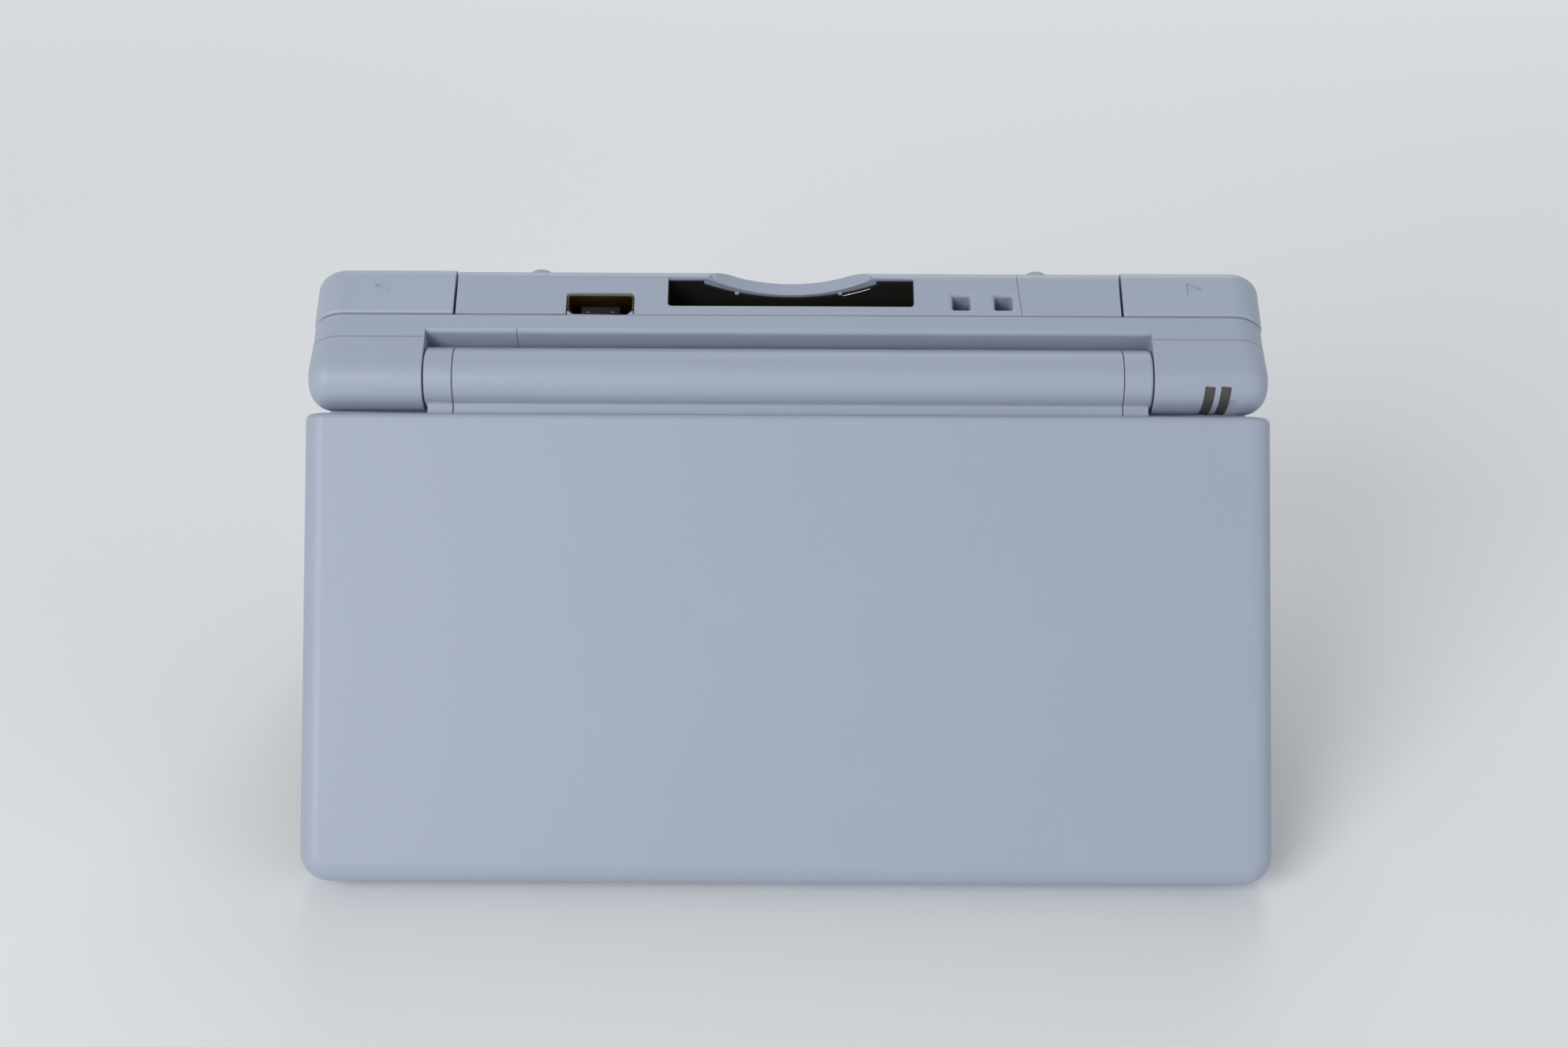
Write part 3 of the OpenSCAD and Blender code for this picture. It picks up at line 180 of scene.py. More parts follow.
def soft_lamp(name, place, size, watts, colour):
    """Square area lamp at a place, turned to look at the middle of the console."""
    data = bpy.data.lights.new(name, "AREA")
    data.shape = "SQUARE"
    data.size = size
    data.energy = watts
    data.color = colour
    lamp = bpy.data.objects.new(name, data)
    scene.collection.objects.link(lamp)
    lamp.location = place
    away = np.array(place) - LAMP_AIM
    lamp.rotation_euler = (math.atan2(math.hypot(away[0], away[1]), away[2]), 0.0,
                           math.atan2(away[1], away[0]) + math.pi / 2)


soft_lamp("key_lamp", (-0.50, -0.72, 0.50), 0.5, 5.2, (1.0, 0.985, 0.96))
soft_lamp("fill_lamp", (0.95, -0.55, 0.5), 0.7, 1.5, (0.94, 0.97, 1.0))
soft_lamp("rear_lamp", (0.1, 0.95, 0.8), 0.7, 3.5, (0.95, 0.98, 1.0))

# ---- Moulded plastic ----
# Every shell is injection-moulded: the colour goes through, the faces carry the spark-eroded
# grain of the mould, and handling leaves the grain a little smoother in soft patches.
GRAIN_PER_M, GRAIN_DETAIL = 5200.0, 3.0
CLOUD_PER_M, CLOUD_DETAIL, CLOUD_SPAN = 55.0, 4.0, (0.3, 0.7)
SPECK_PER_M, SPECK_RIM, SPECK_RARE = 420.0, (0.05, 0.09), (0.90, 0.92)
MICROMETRE = 1e-6
PLASTIC_IOR = 1.49


def new_group(name, inputs, outputs):
    """Empty shader node group with the given float or colour sockets."""
    group = bpy.data.node_groups.new(name, "ShaderNodeTree")
    kinds = {"value": "NodeSocketFloat", "colour": "NodeSocketColor"}
    for label, kind, default in inputs:
        socket = group.interface.new_socket(label, in_out="INPUT", socket_type=kinds[kind])
        socket.default_value = default
    for label, kind in outputs:
        group.interface.new_socket(label, in_out="OUTPUT", socket_type=kinds[kind])
    return group, group.nodes.new("NodeGroupInput"), group.nodes.new("NodeGroupOutput")


def noise(tree, coords, scale, detail):
    """Noise texture on given coordinates; returns its value output."""
    node = tree.nodes.new("ShaderNodeTexNoise")
    node.inputs["Scale"].default_value = scale
    node.inputs["Detail"].default_value = detail
    tree.links.new(coords, node.inputs["Vector"])
    return node.outputs["Fac"]


def remap(tree, value, low, high, to_low, to_high):
    """Maps a value from one span to another, clamped at the ends."""
    node = tree.nodes.new("ShaderNodeMapRange")
    for label, number in (("Value", value), ("From Min", low), ("From Max", high),
                          ("To Min", to_low), ("To Max", to_high)):
        feed(tree, node.inputs[label], number)
    return node.outputs["Result"]


def shade(tree, colour, factor):
    """Multiplies a colour by a grey factor."""
    node = tree.nodes.new("ShaderNodeVectorMath")
    node.operation = "SCALE"
    tree.links.new(colour, node.inputs[0])
    tree.links.new(factor, node.inputs["Scale"])
    return node.outputs["Vector"]


# Grain of the mould: fine noise for the height, a cloudy one for tone and roughness, and rare
# specks of dust that sit on the surface.
grain_group, grain_in, grain_out = new_group(
    "mould_grain",
    [("Colour", "colour", (0.8, 0.8, 0.8, 1.0)), ("Tone", "value", 0.02), ("Roughness", "value", 0.5),
     ("Patch", "value", 0.05), ("Specks", "value", 0.3)],
    [("Colour", "colour"), ("Roughness", "value"), ("Height", "value")])
given = grain_in.outputs
coords = grain_group.nodes.new("ShaderNodeTexCoord").outputs["Object"]
fine = noise(grain_group, coords, GRAIN_PER_M, GRAIN_DETAIL)
cloud = noise(grain_group, coords, CLOUD_PER_M, CLOUD_DETAIL)
cells = grain_group.nodes.new("ShaderNodeTexVoronoi")
cells.inputs["Scale"].default_value = SPECK_PER_M
grain_group.links.new(coords, cells.inputs["Vector"])
in_spot = remap(grain_group, cells.outputs["Distance"], *SPECK_RIM, 1.0, 0.0)
cell_value = grain_group.nodes.new("ShaderNodeSeparateColor")
grain_group.links.new(cells.outputs["Color"], cell_value.inputs[0])
is_rare = remap(grain_group, cell_value.outputs[0], *SPECK_RARE, 0.0, 1.0)
speck = math_node(grain_group, "MULTIPLY", in_spot, is_rare)
darkest = math_node(grain_group, "SUBTRACT", 1.0, given["Tone"])
cloud_tone = remap(grain_group, cloud, *CLOUD_SPAN, darkest, 1.0)
speck_tone = math_node(grain_group, "MULTIPLY", speck, given["Specks"])
tone = math_node(grain_group, "SUBTRACT", cloud_tone, speck_tone)
uneven = math_node(grain_group, "SUBTRACT", cloud, 0.5)
rough = math_node(grain_group, "MULTIPLY_ADD", uneven, given["Patch"], given["Roughness"])
grain_group.links.new(shade(grain_group, given["Colour"], tone), grain_out.inputs["Colour"])
grain_group.links.new(rough, grain_out.inputs["Roughness"])
grain_group.links.new(fine, grain_out.inputs["Height"])


def grained(name, colour, roughness, grain_um=4.0, tone=0.02, patch=0.12, specks=0.0, metallic=0.0,
            specular=0.5):
    """Material with mould grain: colour, roughness, and a bump as deep as the grain in micrometres."""
    material, shader = plain_material(name, colour, roughness)
    tree = material.node_tree
    grain = tree.nodes.new("ShaderNodeGroup")
    grain.node_tree = grain_group
    grain.inputs["Colour"].default_value = (*colour, 1.0)
    for label, number in (("Tone", tone), ("Roughness", roughness), ("Patch", patch), ("Specks", specks)):
        grain.inputs[label].default_value = number
    bump = tree.nodes.new("ShaderNodeBump")
    bump.inputs["Distance"].default_value = grain_um * MICROMETRE
    bump.inputs["Strength"].default_value = 1.0
    tree.links.new(grain.outputs["Colour"], shader.inputs["Base Color"])
    tree.links.new(grain.outputs["Roughness"], shader.inputs["Roughness"])
    tree.links.new(grain.outputs["Height"], bump.inputs["Height"])
    tree.links.new(bump.outputs["Normal"], shader.inputs["Normal"])
    shader.inputs["IOR"].default_value = PLASTIC_IOR
    shader.inputs["Metallic"].default_value = metallic
    shader.inputs["Specular IOR Level"].default_value = specular
    return material


CASE_LOOK = {"colour": (0.375, 0.425, 0.526), "roughness": 0.46, "grain_um": 5.0, "specks": 0.10}
case_white = grained("case_plastic", **CASE_LOOK)
button_white = grained("button_plastic", (0.388, 0.442, 0.536), 0.44, grain_um=5.0)

# No moulded edge is quite sharp. An edge is rounded where it turns by more than SHARP degrees and
# is longer than EDGE_MIN; round the light windows the facets are too narrow for it. Faces of
# the front and rear walls are cut into triangles first, so that none closes over an opening.
EDGE_R = 0.0006
EDGE_SHARE = 0.2
EDGE_MIN = 0.0003
EDGE_SEGMENTS = 2
SHARP = math.radians(32.0)
SAME_PLANE = math.radians(0.4)
SAME_POINT = 2e-6
WALL_FACING = 0.99
WINDOW_X = (0.0560, 0.0610)
WINDOW_DROP = 0.006
# Places of the rear wall with another radius, as shares of EDGE_R: mouths of the strap holes,
# corners of the power connector's and the card slot's openings, and the crisp triangles on the
# shoulder buttons. Each is (share, x, y and z spans on the base).
EDGE_PLACES = [(0.4, (22.3, 32.1), (1.0, 4.6), (4.3, 7.8)),
               (0.8, (-31.2, -30.7), (2.0, 4.6), (4.5, 5.1)),
               (0.8, (-21.9, -21.4), (2.0, 4.6), (4.5, 5.1)),
               (1.0, (-17.2, -16.6), (2.0, 4.6), (6.6, 7.2)),
               (1.0, (17.3, 17.9), (2.0, 4.6), (6.6, 7.2)),
               (0.05, (-58.6, -55.2), (3.9, 5.2), (2.4, 5.0)),
               (0.05, (55.2, 58.6), (3.9, 5.2), (2.4, 5.0))]


def edge_share(middle):
    """Share of EDGE_R for an edge, from the place of its middle."""
    if WINDOW_X[0] < middle.x < WINDOW_X[1] and middle.z > hinge_at[2] - WINDOW_DROP:
        return 0.0
    off = (np.array(middle) - hinge_at) / MM
    spot = (off[0], float(np.dot(off, base_rear)), float(np.dot(off, base_up)) + HINGE_Z)
    for share, *spans in EDGE_PLACES:
        if all(low < value < high for value, (low, high) in zip(spot, spans)):
            return share
    return EDGE_SHARE


def mark_sharp_edges(form):
    """Writes the shares of a bmesh's sharp edges into the layer that the bevel reads."""
    weight = form.edges.layers.float.new("bevel_weight_edge")
    for edge in form.edges:
        if edge.is_manifold and edge.calc_face_angle() >= SHARP and edge.calc_length() >= EDGE_MIN:
            edge[weight] = edge_share((edge.verts[0].co + edge.verts[1].co) / 2)


def smooth_copy(node, body, material, name=None):
    """Stands for a CAD node: its triangles merged, curved faces smooth and sharp edges rounded."""
    name = name or node + "_moulded"
    mesh = bpy.data.meshes.new(name)
    form = bmesh.new()
    form.from_mesh(frame["nodes"][node].data)
    bmesh.ops.remove_doubles(form, verts=form.verts, dist=SAME_POINT)
    bmesh.ops.dissolve_limit(form, angle_limit=SAME_PLANE, verts=form.verts, edges=form.edges)
    form.normal_update()
    walls = [face for face in form.faces if abs(float(np.dot(face.normal, base_rear))) > WALL_FACING]
    bmesh.ops.triangulate(form, faces=walls)
    mark_sharp_edges(form)
    form.to_mesh(mesh)
    form.free()
    mesh.materials.append(material)
    mesh.shade_smooth()
    mesh.set_sharp_from_angle(angle=SHARP)
    piece = bpy.data.objects.new(name, mesh)
    scene.collection.objects.link(piece)
    edges = piece.modifiers.new("moulded_edges", "BEVEL")
    edges.width = EDGE_R
    edges.segments = EDGE_SEGMENTS
    edges.limit_method = "WEIGHT"
    edges.use_clamp_overlap = False
    edges.face_strength_mode = "FSTR_ALL"
    weighted = piece.modifiers.new("flat_faces_stay_flat", "WEIGHTED_NORMAL")
    weighted.keep_sharp = True
    weighted.use_face_influence = True
    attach(piece, body)
    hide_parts(node)


# ---- Mould lines and seam shade of the base ----
# Where slides of the mould met, hairlines run round the knuckles at deck height, across the recess
# floor and down the rear wall. The seam of the shells falls in shade, and that shade is painted on
# as a darker band. The material holds them, for they are as fine as a hair.
LINE_HALF = 0.06
LINE_DEPTH_UM = 70.0
LINE_SHADE = 0.38
# Height or place of each line, and the spans it is cut to; 9 mm is beyond the rear wall.
KNUCKLE_LINE_Z, KNUCKLE_X, KNUCKLE_Y = 12.45, 50.6, (-4.1, 9.0)
FLOOR_LINE_X, FLOOR_Z, FLOOR_Y = -37.7, (10.9, 11.5), (-3.0, 9.0)
WALL_LINE_X, WALL_LINE_SLANT, WALL_LINE_THIN = 32.0, -0.07, 0.8
WALL_Z, WALL_Y = (0.6, 8.4), (4.1, 9.0)
SEAM_Z, SEAM_WIDE, SEAM_WEIGHT = 8.5, 1.5, 0.7
mark_group, _, mark_out = new_group("mould_lines_and_seam_shade", [], [("Line", "value")])


def along(tree, direction, offset=0.0):
    """Millimetres from the hinge axis to the shaded point along a direction, plus an offset."""
    dot = tree.nodes.new("ShaderNodeVectorMath")
    dot.operation = "DOT_PRODUCT"
    dot.inputs[1].default_value = [float(part) / MM for part in direction]
    tree.links.new(tree.nodes.new("ShaderNodeTexCoord").outputs["Object"], dot.inputs[0])
    start = float(np.dot(direction, hinge_at)) / MM
    return math_node(tree, "ADD", dot.outputs["Value"], offset - start)


def within(tree, value, low, high):
    """One between two bounds, nought outside."""
    return math_node(tree, "MULTIPLY", math_node(tree, "GREATER_THAN", value, low),
                     math_node(tree, "LESS_THAN", value, high))


def hairline(value, place, half=LINE_HALF):
    """Soft line where a value passes a place: full to half its width, gone at one and a half."""
    off = math_node(mark_group, "ABSOLUTE", math_node(mark_group, "SUBTRACT", value, place))
    return remap(mark_group, off, half * 0.5, half * 1.5, 1.0, 0.0)


def cut_to(line, *masks):
    """Keeps a line where all the masks are one."""
    for mask in masks:
        line = math_node(mark_group, "MULTIPLY", line, mask)
    return line


across_mm = along(mark_group, across)
rear_mm = along(mark_group, base_rear)
up_mm = along(mark_group, base_up, HINGE_Z)
slanted = math_node(mark_group, "MULTIPLY", up_mm, WALL_LINE_SLANT)
wall_mm = math_node(mark_group, "ADD", across_mm, slanted)
outer = math_node(mark_group, "GREATER_THAN", math_node(mark_group, "ABSOLUTE", across_mm), KNUCKLE_X)
knuckle_line = cut_to(hairline(up_mm, KNUCKLE_LINE_Z), outer, within(mark_group, rear_mm, *KNUCKLE_Y))
floor_line = cut_to(hairline(across_mm, FLOOR_LINE_X), within(mark_group, up_mm, *FLOOR_Z),
                    within(mark_group, rear_mm, *FLOOR_Y))
wall_line = cut_to(hairline(wall_mm, WALL_LINE_X, LINE_HALF * WALL_LINE_THIN),
                   within(mark_group, up_mm, *WALL_Z), within(mark_group, rear_mm, *WALL_Y))
# Painted shade: a darker band along the seam of the shells, where the slit between them is in shade.
seam = hairline(up_mm, SEAM_Z, LINE_HALF * SEAM_WIDE)
seam_shade = math_node(mark_group, "MULTIPLY", seam, SEAM_WEIGHT)
all_lines = knuckle_line
for line in (floor_line, wall_line, seam_shade):
    all_lines = math_node(mark_group, "MAXIMUM", all_lines, line)
mark_group.links.new(all_lines, mark_out.inputs["Line"])


def shade_base_colour(material, factor):
    """Puts a grey factor between a material's colour and its shader."""
    socket = material.node_tree.nodes["Principled BSDF"].inputs["Base Color"]
    source = socket.links[0].from_socket
    material.node_tree.links.new(shade(material.node_tree, source, factor), socket)


# The lines make the plastic of the base darker, the seam's band being painted shade, and lie as a
# shallow bump under its grain.
base_white = grained("case_plastic_base", **CASE_LOOK)
base_tree = base_white.node_tree
marks = base_tree.nodes.new("ShaderNodeGroup")
marks.node_tree = mark_group
shade_base_colour(base_white, remap(base_tree, marks.outputs["Line"], 0.0, 1.0, 1.0, 1.0 - LINE_SHADE))
groove = base_tree.nodes.new("ShaderNodeBump")
groove.invert = True
groove.inputs["Distance"].default_value = LINE_DEPTH_UM * MICROMETRE
base_tree.links.new(marks.outputs["Line"], groove.inputs["Height"])
base_tree.links.new(groove.outputs["Normal"], base_tree.nodes["Bump"].inputs["Normal"])

# ---- Base shells ----
# Lower shell, upper shell and battery cover are three injection mouldings of one white plastic,
# held together by screws from below. The battery cover has a screw of its own.
for node in ("lower_shell", "upper_shell", "battery_cover"):
    smooth_copy(node, "base", base_white)

# ---- Screws and feet ----
# Steel screws with a cross recess sit deep in the underside and in the lid. Small round feet and
# bumpers of rubber are glued into shallow seats of the underside and of the inner lid.
steel = grained("steel", (0.34, 0.34, 0.335), 0.36, grain_um=2.0, tone=0.08, patch=0.2, metallic=1.0)
rubber = grained("rubber", (0.40, 0.43, 0.48), 0.72, grain_um=9.0, tone=0.05)


def give_material(node, material):
    """Gives every slot of a CAD node the material."""
    mesh = frame["nodes"][node].data
    mesh.materials.clear()
    mesh.materials.append(material)


for node in ("case_screws", "battery_cover_screw", "lid_screws"):
    give_material(node, steel)
smooth_copy("rubber_feet", "base", rubber)
smooth_copy("lid_bumpers", "lid", rubber)

# ---- Board and its parts ----
# A green glass-fibre board lies between the shells and carries cans of rolled tin plate. Pins,
# springs and the parts of the hinge are steel, and the battery has a case of grey plastic.
board_green = grained("circuit_board", (0.020, 0.115, 0.055), 0.38, grain_um=6.0, tone=0.35, patch=0.1)
tin = grained("shield_metal", (0.62, 0.62, 0.60), 0.28, grain_um=3.0, tone=0.10, patch=0.25, metallic=1.0)
battery_grey = grained("battery_case", (0.055, 0.060, 0.070), 0.55, grain_um=6.0, tone=0.08)
give_material("main_board", board_green)
give_material("battery_pack", battery_grey)
for node in ("processor_shield", "radio_module", "microphone"):
    give_material(node, tin)
for node in ("shoulder_springs", "shoulder_pins", "hinge_pin", "hinge_clutch", "clutch_shaft"):
    give_material(node, steel)

# ---- Sockets ----
# The card, cartridge and headphone sockets are moulded in dark glass-filled plastic, and so
# are the housings of the switches. They are soldered to the board.
socket_black = grained("dark_plastic", (0.024, 0.024, 0.020), 0.5, grain_um=7.0, tone=0.25, patch=0.2,
                       specular=0.2)
for node in ("card_slot", "cartridge_slot", "headphone_jack", "slide_switches", "shoulder_switches"):
    smooth_copy(node, "base", socket_black)

# ---- Power connector ----
# A drawn ring of thin gold-plated sheet, rounded towards the underside and cut at the seam
# side, stands round a dark tongue with two contact pins. The dark back closes it. The ring's
# inner side carries painted shade: a darker copy of its gold.
REAR = 4.3
POWER_X, POWER_W, POWER_H = -26.3, 9.3, 3.75
CUT_X, CUT_Z = 1.0, 1.26
LOWER_R, CUT_R, ROOF_R = 0.6, 0.35, 0.1
ROOF_SHARE = 0.3
RIM_BACK = 0.35
RING_DEPTH = 4.95
# Section of the ring's sheet as (inset, depth behind the rim): outer side, rim, inner side.
RING_SECTION = [(0.0, RING_DEPTH), (0.0, 0.09), (0.03, 0.03), (0.08, 0.0), (0.13, 0.0), (0.18, 0.03),
                (0.2, 0.1), (0.21, RING_DEPTH), (0.0, RING_DEPTH)]
RING_INNER_SIDE = 6
BACK_INSET, BACK_DEPTHS = 0.32, (4.9, 4.2)
PIN_X, PIN_HALF = (-1.7, 1.7), 0.2
LEAST_R = 0.04
END_INSET, SHOULDER_INSET = 0.8, 0.24
gold = grained("gold_plating", (0.235, 0.160, 0.075), 0.32, grain_um=2.0, tone=0.30, patch=0.3,
               metallic=1.0)
# Painted shade: a darker, rougher copy of the gold for the ring's inner walls, where little light reaches.
gold_inside_painted_shade = grained("gold_inside_painted_shade", (0.19, 0.115, 0.050), 0.5, grain_um=3.0, tone=0.40, patch=0.3,
                      metallic=1.0)
tongue_black = grained("tongue_plastic", (0.009, 0.009, 0.011), 0.5, grain_um=5.0, tone=0.2, specular=0.2)


def on_base(points):
    """Row-frame place of base points: hinge axis plus x across, y rearwards, z over the underside."""
    p = np.asarray(points, float) * MM
    return hinge_at + p[:, :1] * across + p[:, 1:2] * base_rear + (p[:, 2:] - HINGE_Z * MM) * base_up


def new_piece(name, points, faces, slot, material):
    """Mesh object of the base from points in its millimetres and a list of faces."""
    mesh = bpy.data.meshes.new(name)
    mesh.from_pydata(on_base(points).tolist(), [], faces)
    mesh.materials.append(material)
    mesh.shade_smooth()
    form = bmesh.new()
    form.from_mesh(mesh)
    bmesh.ops.recalc_face_normals(form, faces=form.faces)
    form.to_mesh(mesh)
    form.free()
    piece = bpy.data.objects.new(name, mesh)
    scene.collection.objects.link(piece)
    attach(piece, "base")
    return piece


def tube_faces(rings, around, closed_ends=True):
    """Faces of a tube of rings, each with the same count of points, with its end caps."""
    i, j = np.meshgrid(np.arange(rings - 1), np.arange(around), indexing="ij")
    here = i * around + j
    beside = i * around + (j + 1) % around
    faces = np.stack([here, beside, beside + around, here + around], -1).reshape(-1, 4).tolist()
    if closed_ends:
        faces.append(np.arange(around)[::-1].tolist())
        faces.append(((rings - 1) * around + np.arange(around)).tolist())
    return faces


def rounded_outline(corners, inset=0.0, steps=6):
    """Loop of a convex polygon, moved inwards by an inset and rounded at its corners.

    Corners are (x, z, radius), anticlockwise. A corner's arc has its centre at the inset plus its
    radius from both edges, and turns from the one edge's normal to the next one's.
    """
    spots, radii = np.array(corners, float)[:, :2], np.array(corners, float)[:, 2]
    ahead = np.roll(spots, -1, 0) - spots
    heading = np.arctan2(ahead[:, 1], ahead[:, 0])
    before = np.roll(heading, 1)
    turn = np.mod(heading - before, 2 * math.pi)
    radii = np.maximum(radii - inset, LEAST_R)
    inward = np.stack([-np.sin(heading), np.cos(heading)], -1)
    reach = (inset + radii) / (1 + np.cos(turn))
    centres = spots + (inward + np.roll(inward, 1, 0)) * reach[:, None]
    angles = before[:, None] - math.pi / 2 + turn[:, None] * np.linspace(0, 1, steps)
    arcs = radii[:, None, None] * np.stack([np.cos(angles), np.sin(angles)], -1)
    return (centres[:, None] + arcs).reshape(-1, 2)


def soft_bar(low, high, r):
    """Points and faces of a bar along y: rounded rectangles, drawn in near the two ends."""
    (x0, y0, z0), (x1, y1, z1) = low, high
    corners = [(x0, z0, r), (x1, z0, r), (x1, z1, r), (x0, z1, r)]
    places = ((y0, END_INSET), (y0 + 0.3 * r, SHOULDER_INSET), (y0 + r, 0),
              (y1 - r, 0), (y1 - 0.3 * r, SHOULDER_INSET), (y1, END_INSET))
    rows = [np.insert(rounded_outline(corners, inset * r, 4), 1, y, axis=1) for y, inset in places]
    return np.concatenate(rows), tube_faces(len(rows), len(rows[0]))


def joined(parts):
    """One list of points and one of faces out of several."""
    starts = np.cumsum([0] + [len(points) for points, _ in parts])
    faces = [(np.array(face) + start).tolist() for start, (_, part) in zip(starts, parts) for face in part]
    return np.concatenate([points for points, _ in parts]), faces


def connector_outline(inset, depth):
    """Outline of the connector's mouth at an inset, in base millimetres, at a depth behind its rim.

    The mouth is a rectangle whose two corners at the seam are cut off. The roof there moves in by
    ROOF_SHARE of the inset, and the two lower corners' radius shrinks by the inset.
    """
    half, roof = POWER_W / 2 - inset, POWER_H - ROOF_SHARE * inset
    cut_x, side_top = CUT_X - inset / 2, POWER_H - (CUT_Z - inset / 2)
    corners = [(-half, inset, LOWER_R - inset), (half, inset, LOWER_R - inset), (half, side_top, CUT_R),
               (half - cut_x, roof, ROOF_R), (cut_x - half, roof, ROOF_R), (-half, side_top, CUT_R)]
    loop = rounded_outline(corners) + (POWER_X, SEAM_Z - POWER_H)
    return np.insert(loop, 1, REAR - RIM_BACK - depth, axis=1)


def connector_bar(low, high, r):
    """Bar with its corners counted from the connector's middle, the rear wall and the seam."""
    start = np.array([POWER_X, REAR, SEAM_Z])
    return soft_bar(start + low, start + high, r)


ring = np.array([connector_outline(inset, depth) for inset, depth in RING_SECTION])
rows, around = ring.shape[:2]
ring_piece = new_piece("power_connector_ring", ring.reshape(-1, 3), tube_faces(rows, around, False),
                       "gold_plating", gold)
# The ring's inner wall and rear edge take the darker gold, which is painted shade.
ring_piece.data.materials.append(gold_inside_painted_shade)
inner_side = np.repeat(np.arange(rows - 1) >= RING_INNER_SIDE, around)
ring_piece.data.polygons.foreach_set("material_index", inner_side.astype(np.int32))
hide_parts("power_connector_shell")
back = np.array([connector_outline(BACK_INSET, depth) for depth in BACK_DEPTHS])
new_piece("power_connector_back", back.reshape(-1, 3), tube_faces(*back.shape[:2]), "dark_plastic",
          socket_black)
tongue = connector_bar((-2.75, -4.5, -2.35), (2.75, -1.2, -1.05), 0.22)
tongue_piece = new_piece("power_connector_tongue_moulded", *tongue, "dark_plastic", tongue_black)
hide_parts("power_connector_tongue")
pins = [connector_bar((x - PIN_HALF, -4.4, -1.38), (x + PIN_HALF, -1.12, -1.12), 0.06) for x in PIN_X]
new_piece("power_connector_pins", *joined(pins), "gold_plating", gold)

# ---- Card slot ----
# Two small ribs of the case stand on the rim of the finger notch. Behind the rim a strip of
# the holder's bare metal shows, and deeper in lie gold-plated contact springs, bent from strip.
CARD_X, CARD_Z = 0.35, 2.0
RIB_X = (-7.3, 7.35)
STRIP_X, STRIP_W, STRIP_THICK = (7.7, 11.6), 0.2, 0.1
STRIP_R, STRIP_Y, STRIP_SUNK = 25.0, -0.95, 0.02
SPRING_PITCH, SPRING_W, SPRING_THICK = 1.9, 0.9, 0.12
SPRING_Y, SPRING_LENGTH, SPRING_UP, SPRING_RISE = -9.0, 8.0, 0.15, 0.75
FREE_END, FREE_SLOPE = 0.9, 2.0
SECTION = np.array([[0, 0], [1, 0], [1, 1], [0, 1]])


def bent_strip(steps=28):
    """Strip of sheet on the slot's floor along an arc parallel to the rim of the notch."""
    x = np.linspace(*STRIP_X, steps)[:, None]
    back = STRIP_Y + STRIP_R - np.sqrt(STRIP_R ** 2 - x ** 2)
    y, z = back + STRIP_W * SECTION[:, 0], CARD_Z - STRIP_SUNK + STRIP_THICK * SECTION[:, 1]
    points = np.stack(np.broadcast_arrays(x, y, z), -1)
    return points.reshape(-1, 3), tube_faces(steps, len(SECTION))


def spring_strip(x, steps=24):
    """Contact spring along y: its height is half a sine wave, and its free end turns up again."""
    t = np.linspace(0, 1, steps)[:, None]
    wave = SPRING_RISE * np.sin(math.pi * np.clip(1.15 * t, 0, 1))
    height = CARD_Z + SPRING_UP + wave + FREE_SLOPE * np.clip(t - FREE_END, 0, 1)
    beside, over = SPRING_W * (SECTION[:, 0] - 0.5), SPRING_THICK * SECTION[:, 1]
    points = np.stack(np.broadcast_arrays(x + beside, SPRING_Y - SPRING_LENGTH * t, height + over), -1)
    return points.reshape(-1, 3), tube_faces(steps, len(SECTION))


ribs = [soft_bar((x - 0.3, 0.6, CARD_Z - 0.2), (x + 0.3, 1.12, CARD_Z + 0.2), 0.12) for x in RIB_X]
new_piece("card_slot_ribs", *joined(ribs), "case_plastic", case_white)
new_piece("card_slot_strip", *bent_strip(), "shield_metal", tin)
springs = [spring_strip(CARD_X + SPRING_PITCH * place) for place in range(-8, 9)]
new_piece("card_slot_contacts", *joined(springs), "gold_plating", gold)

# ---- Headphone socket ----
# A turned metal ring lines the mouth of the headphone socket in the front edge; the socket
# itself is dark plastic. The ring is pressed into it.
JACK_X, JACK_Z, FRONT = 47.00, 4.7, -69.35
RING_FACETS = 48
# Section of the turned ring as (radius, depth behind the front).
TURNED_SECTION = np.array([(2.25, 1.6), (2.25, 0.16), (2.2, 0.08), (2.1, 0.03), (1.92, 0.03), (1.8, 0.08),
                           (1.72, 0.2), (1.72, 1.6), (2.25, 1.6)])


def turned_ring():
    """Surface of revolution: the section's points are carried round the socket's axis."""
    radius, depth = TURNED_SECTION[:, :1], TURNED_SECTION[:, 1:]
    turn = np.linspace(0, 2 * math.pi, RING_FACETS, endpoint=False)
    points = np.stack(np.broadcast_arrays(JACK_X + radius * np.cos(turn), FRONT + depth,
                                          JACK_Z + radius * np.sin(turn)), -1)
    return points.reshape(-1, 3), tube_faces(len(TURNED_SECTION), RING_FACETS, False)


new_piece("headphone_socket_ring", *turned_ring(), "shield_metal", tin)

# ---- Screens ----
# Each screen is a glass plate with a black printed margin, glued over a display panel that is
# switched off: nearly black, with the fine grid of its picture points. Its ribbons are copper
# foil, like the antenna strip, and smoked windows in the case cover the status lights.
PICTURE_W, PICTURE_H, POINT = 62.5, 47.0, 0.244
GRID_RIM = (0.78, 0.92)
MARGIN_LEVEL, POINT_LEVEL, GRID_LEVEL = 0.5, 3.6, 2.6


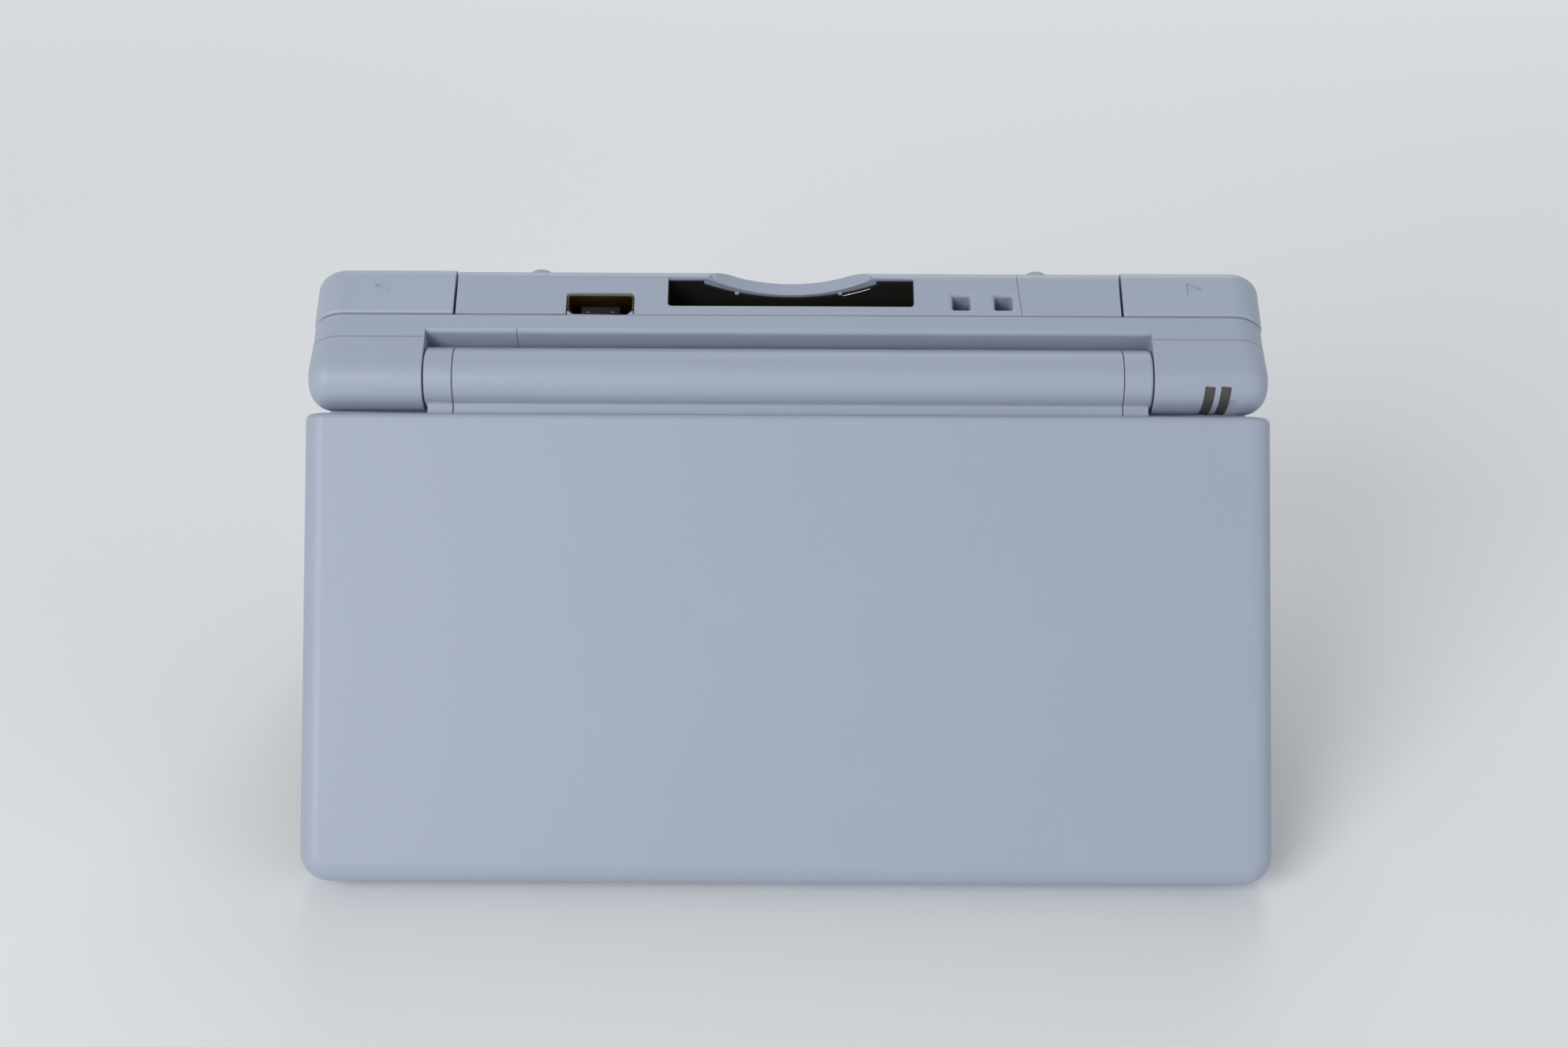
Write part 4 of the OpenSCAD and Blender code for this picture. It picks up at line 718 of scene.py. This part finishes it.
def screen_glass(node, name, backward):
    """Glass of a screen: black printed margin round the picture area with its grid of points.

    The picture area is where the distances across and backward from the middle are within half
    its width and height. The grid is dark where the distance's remainder by the pitch is high.
    """
    group, _, out = new_group(name + "_picture", [], [("Picture", "value"), ("Grid", "value")])
    middle = (np.mean(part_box(node), axis=0) - hinge_at) / MM
    spans = [(along(group, across), float(middle[0]), PICTURE_W / 2),
             (along(group, backward), float(np.dot(middle, backward)), PICTURE_H / 2)]
    inside = [within(group, value, place - half, place + half) for value, place, half in spans]
    rests = [math_node(group, "FRACT", math_node(group, "DIVIDE", value, POINT)) for value, _, _ in spans]
    lines = [remap(group, rest, *GRID_RIM, 0.0, 1.0) for rest in rests]
    group.links.new(math_node(group, "MULTIPLY", *inside), out.inputs["Picture"])
    group.links.new(math_node(group, "MAXIMUM", *lines), out.inputs["Grid"])
    glass = grained(name, (0.012, 0.013, 0.015), 0.07, grain_um=0.3, patch=0.04)
    tree = glass.node_tree
    picture = tree.nodes.new("ShaderNodeGroup")
    picture.node_tree = group
    level = remap(tree, picture.outputs["Grid"], 0.0, 1.0, POINT_LEVEL, GRID_LEVEL)
    lit = math_node(tree, "MULTIPLY", picture.outputs["Picture"], level)
    shade_base_colour(glass, math_node(tree, "MAXIMUM", lit, MARGIN_LEVEL))
    give_material(node, glass)


screen_glass("touch_screen", "touch_glass", base_rear)
screen_glass("display_window", "window_glass", lid_rear)
panel_dark = grained("display_panel", (0.022, 0.024, 0.028), 0.35, grain_um=1.0, tone=0.10)
copper = grained("copper_foil", (0.55, 0.27, 0.12), 0.35, grain_um=3.0, tone=0.2, metallic=1.0)
smoke = grained("smoke_window", (0.080, 0.082, 0.086), 0.30, grain_um=2.0, tone=0.15, specular=0.3)
for node in ("lower_display", "upper_display"):
    give_material(node, panel_dark)
give_material("display_gasket", socket_black)
for node in ("hinge_ribbon", "lid_ribbon", "antenna_strip"):
    give_material(node, copper)
smooth_copy("status_light_guides", "base", smoke, "status_light_windows")

# ---- Controls ----
# Direction pad, buttons and slider caps are separate plastic mouldings. Pad and buttons stand
# through the deck on soft sheets of silicone rubber, and the pad's rocker is rubber as well.
control_plastic = grained("control_plastic", (0.40, 0.44, 0.52), 0.36, grain_um=3.0)
silicone = grained("silicone", (0.30, 0.31, 0.33), 0.6, grain_um=6.0, tone=0.05)
smooth_copy("pad_rocker", "pad_rocker", silicone)
for node in ("direction_pad", "button_right", "button_upper", "button_lower", "button_left",
             "menu_button_upper", "menu_button_lower", "power_slider", "volume_slider"):
    smooth_copy(node, node, control_plastic)
for node in ("pad_membrane", "button_membrane"):
    give_material(node, silicone)

# ---- Shoulder buttons ----
# Two corner buttons, moulded in a slightly warmer white, wrap round the rear corners. Each
# turns on an upright steel pin and is sprung outwards.
for node in ("shoulder_button_left", "shoulder_button_right"):
    smooth_copy(node, node, button_white)

# ---- Stylus, sleeve and slot cover ----
# The stylus is a slim moulding of the case plastic that is pushed into a thin sleeve in the
# right side. The cover is a dust plug that is pushed into the cartridge slot.
smooth_copy("stylus", "stylus", case_white)
smooth_copy("slot_cover", "slot_cover", case_white)
smooth_copy("stylus_sleeve", "base", case_white)

# ---- Lid ----
# Two shells of the white plastic, screwed together, hold the upper display and the speakers. The
# barrel of the outer one turns with its two caps between the knuckles of the base.
for node in ("lid_outer_shell", "lid_inner_shell", "hinge_cap_left", "hinge_cap_right"):
    smooth_copy(node, "lid", case_white)
for node in ("speaker_left", "speaker_right"):
    smooth_copy(node, "lid", socket_black)
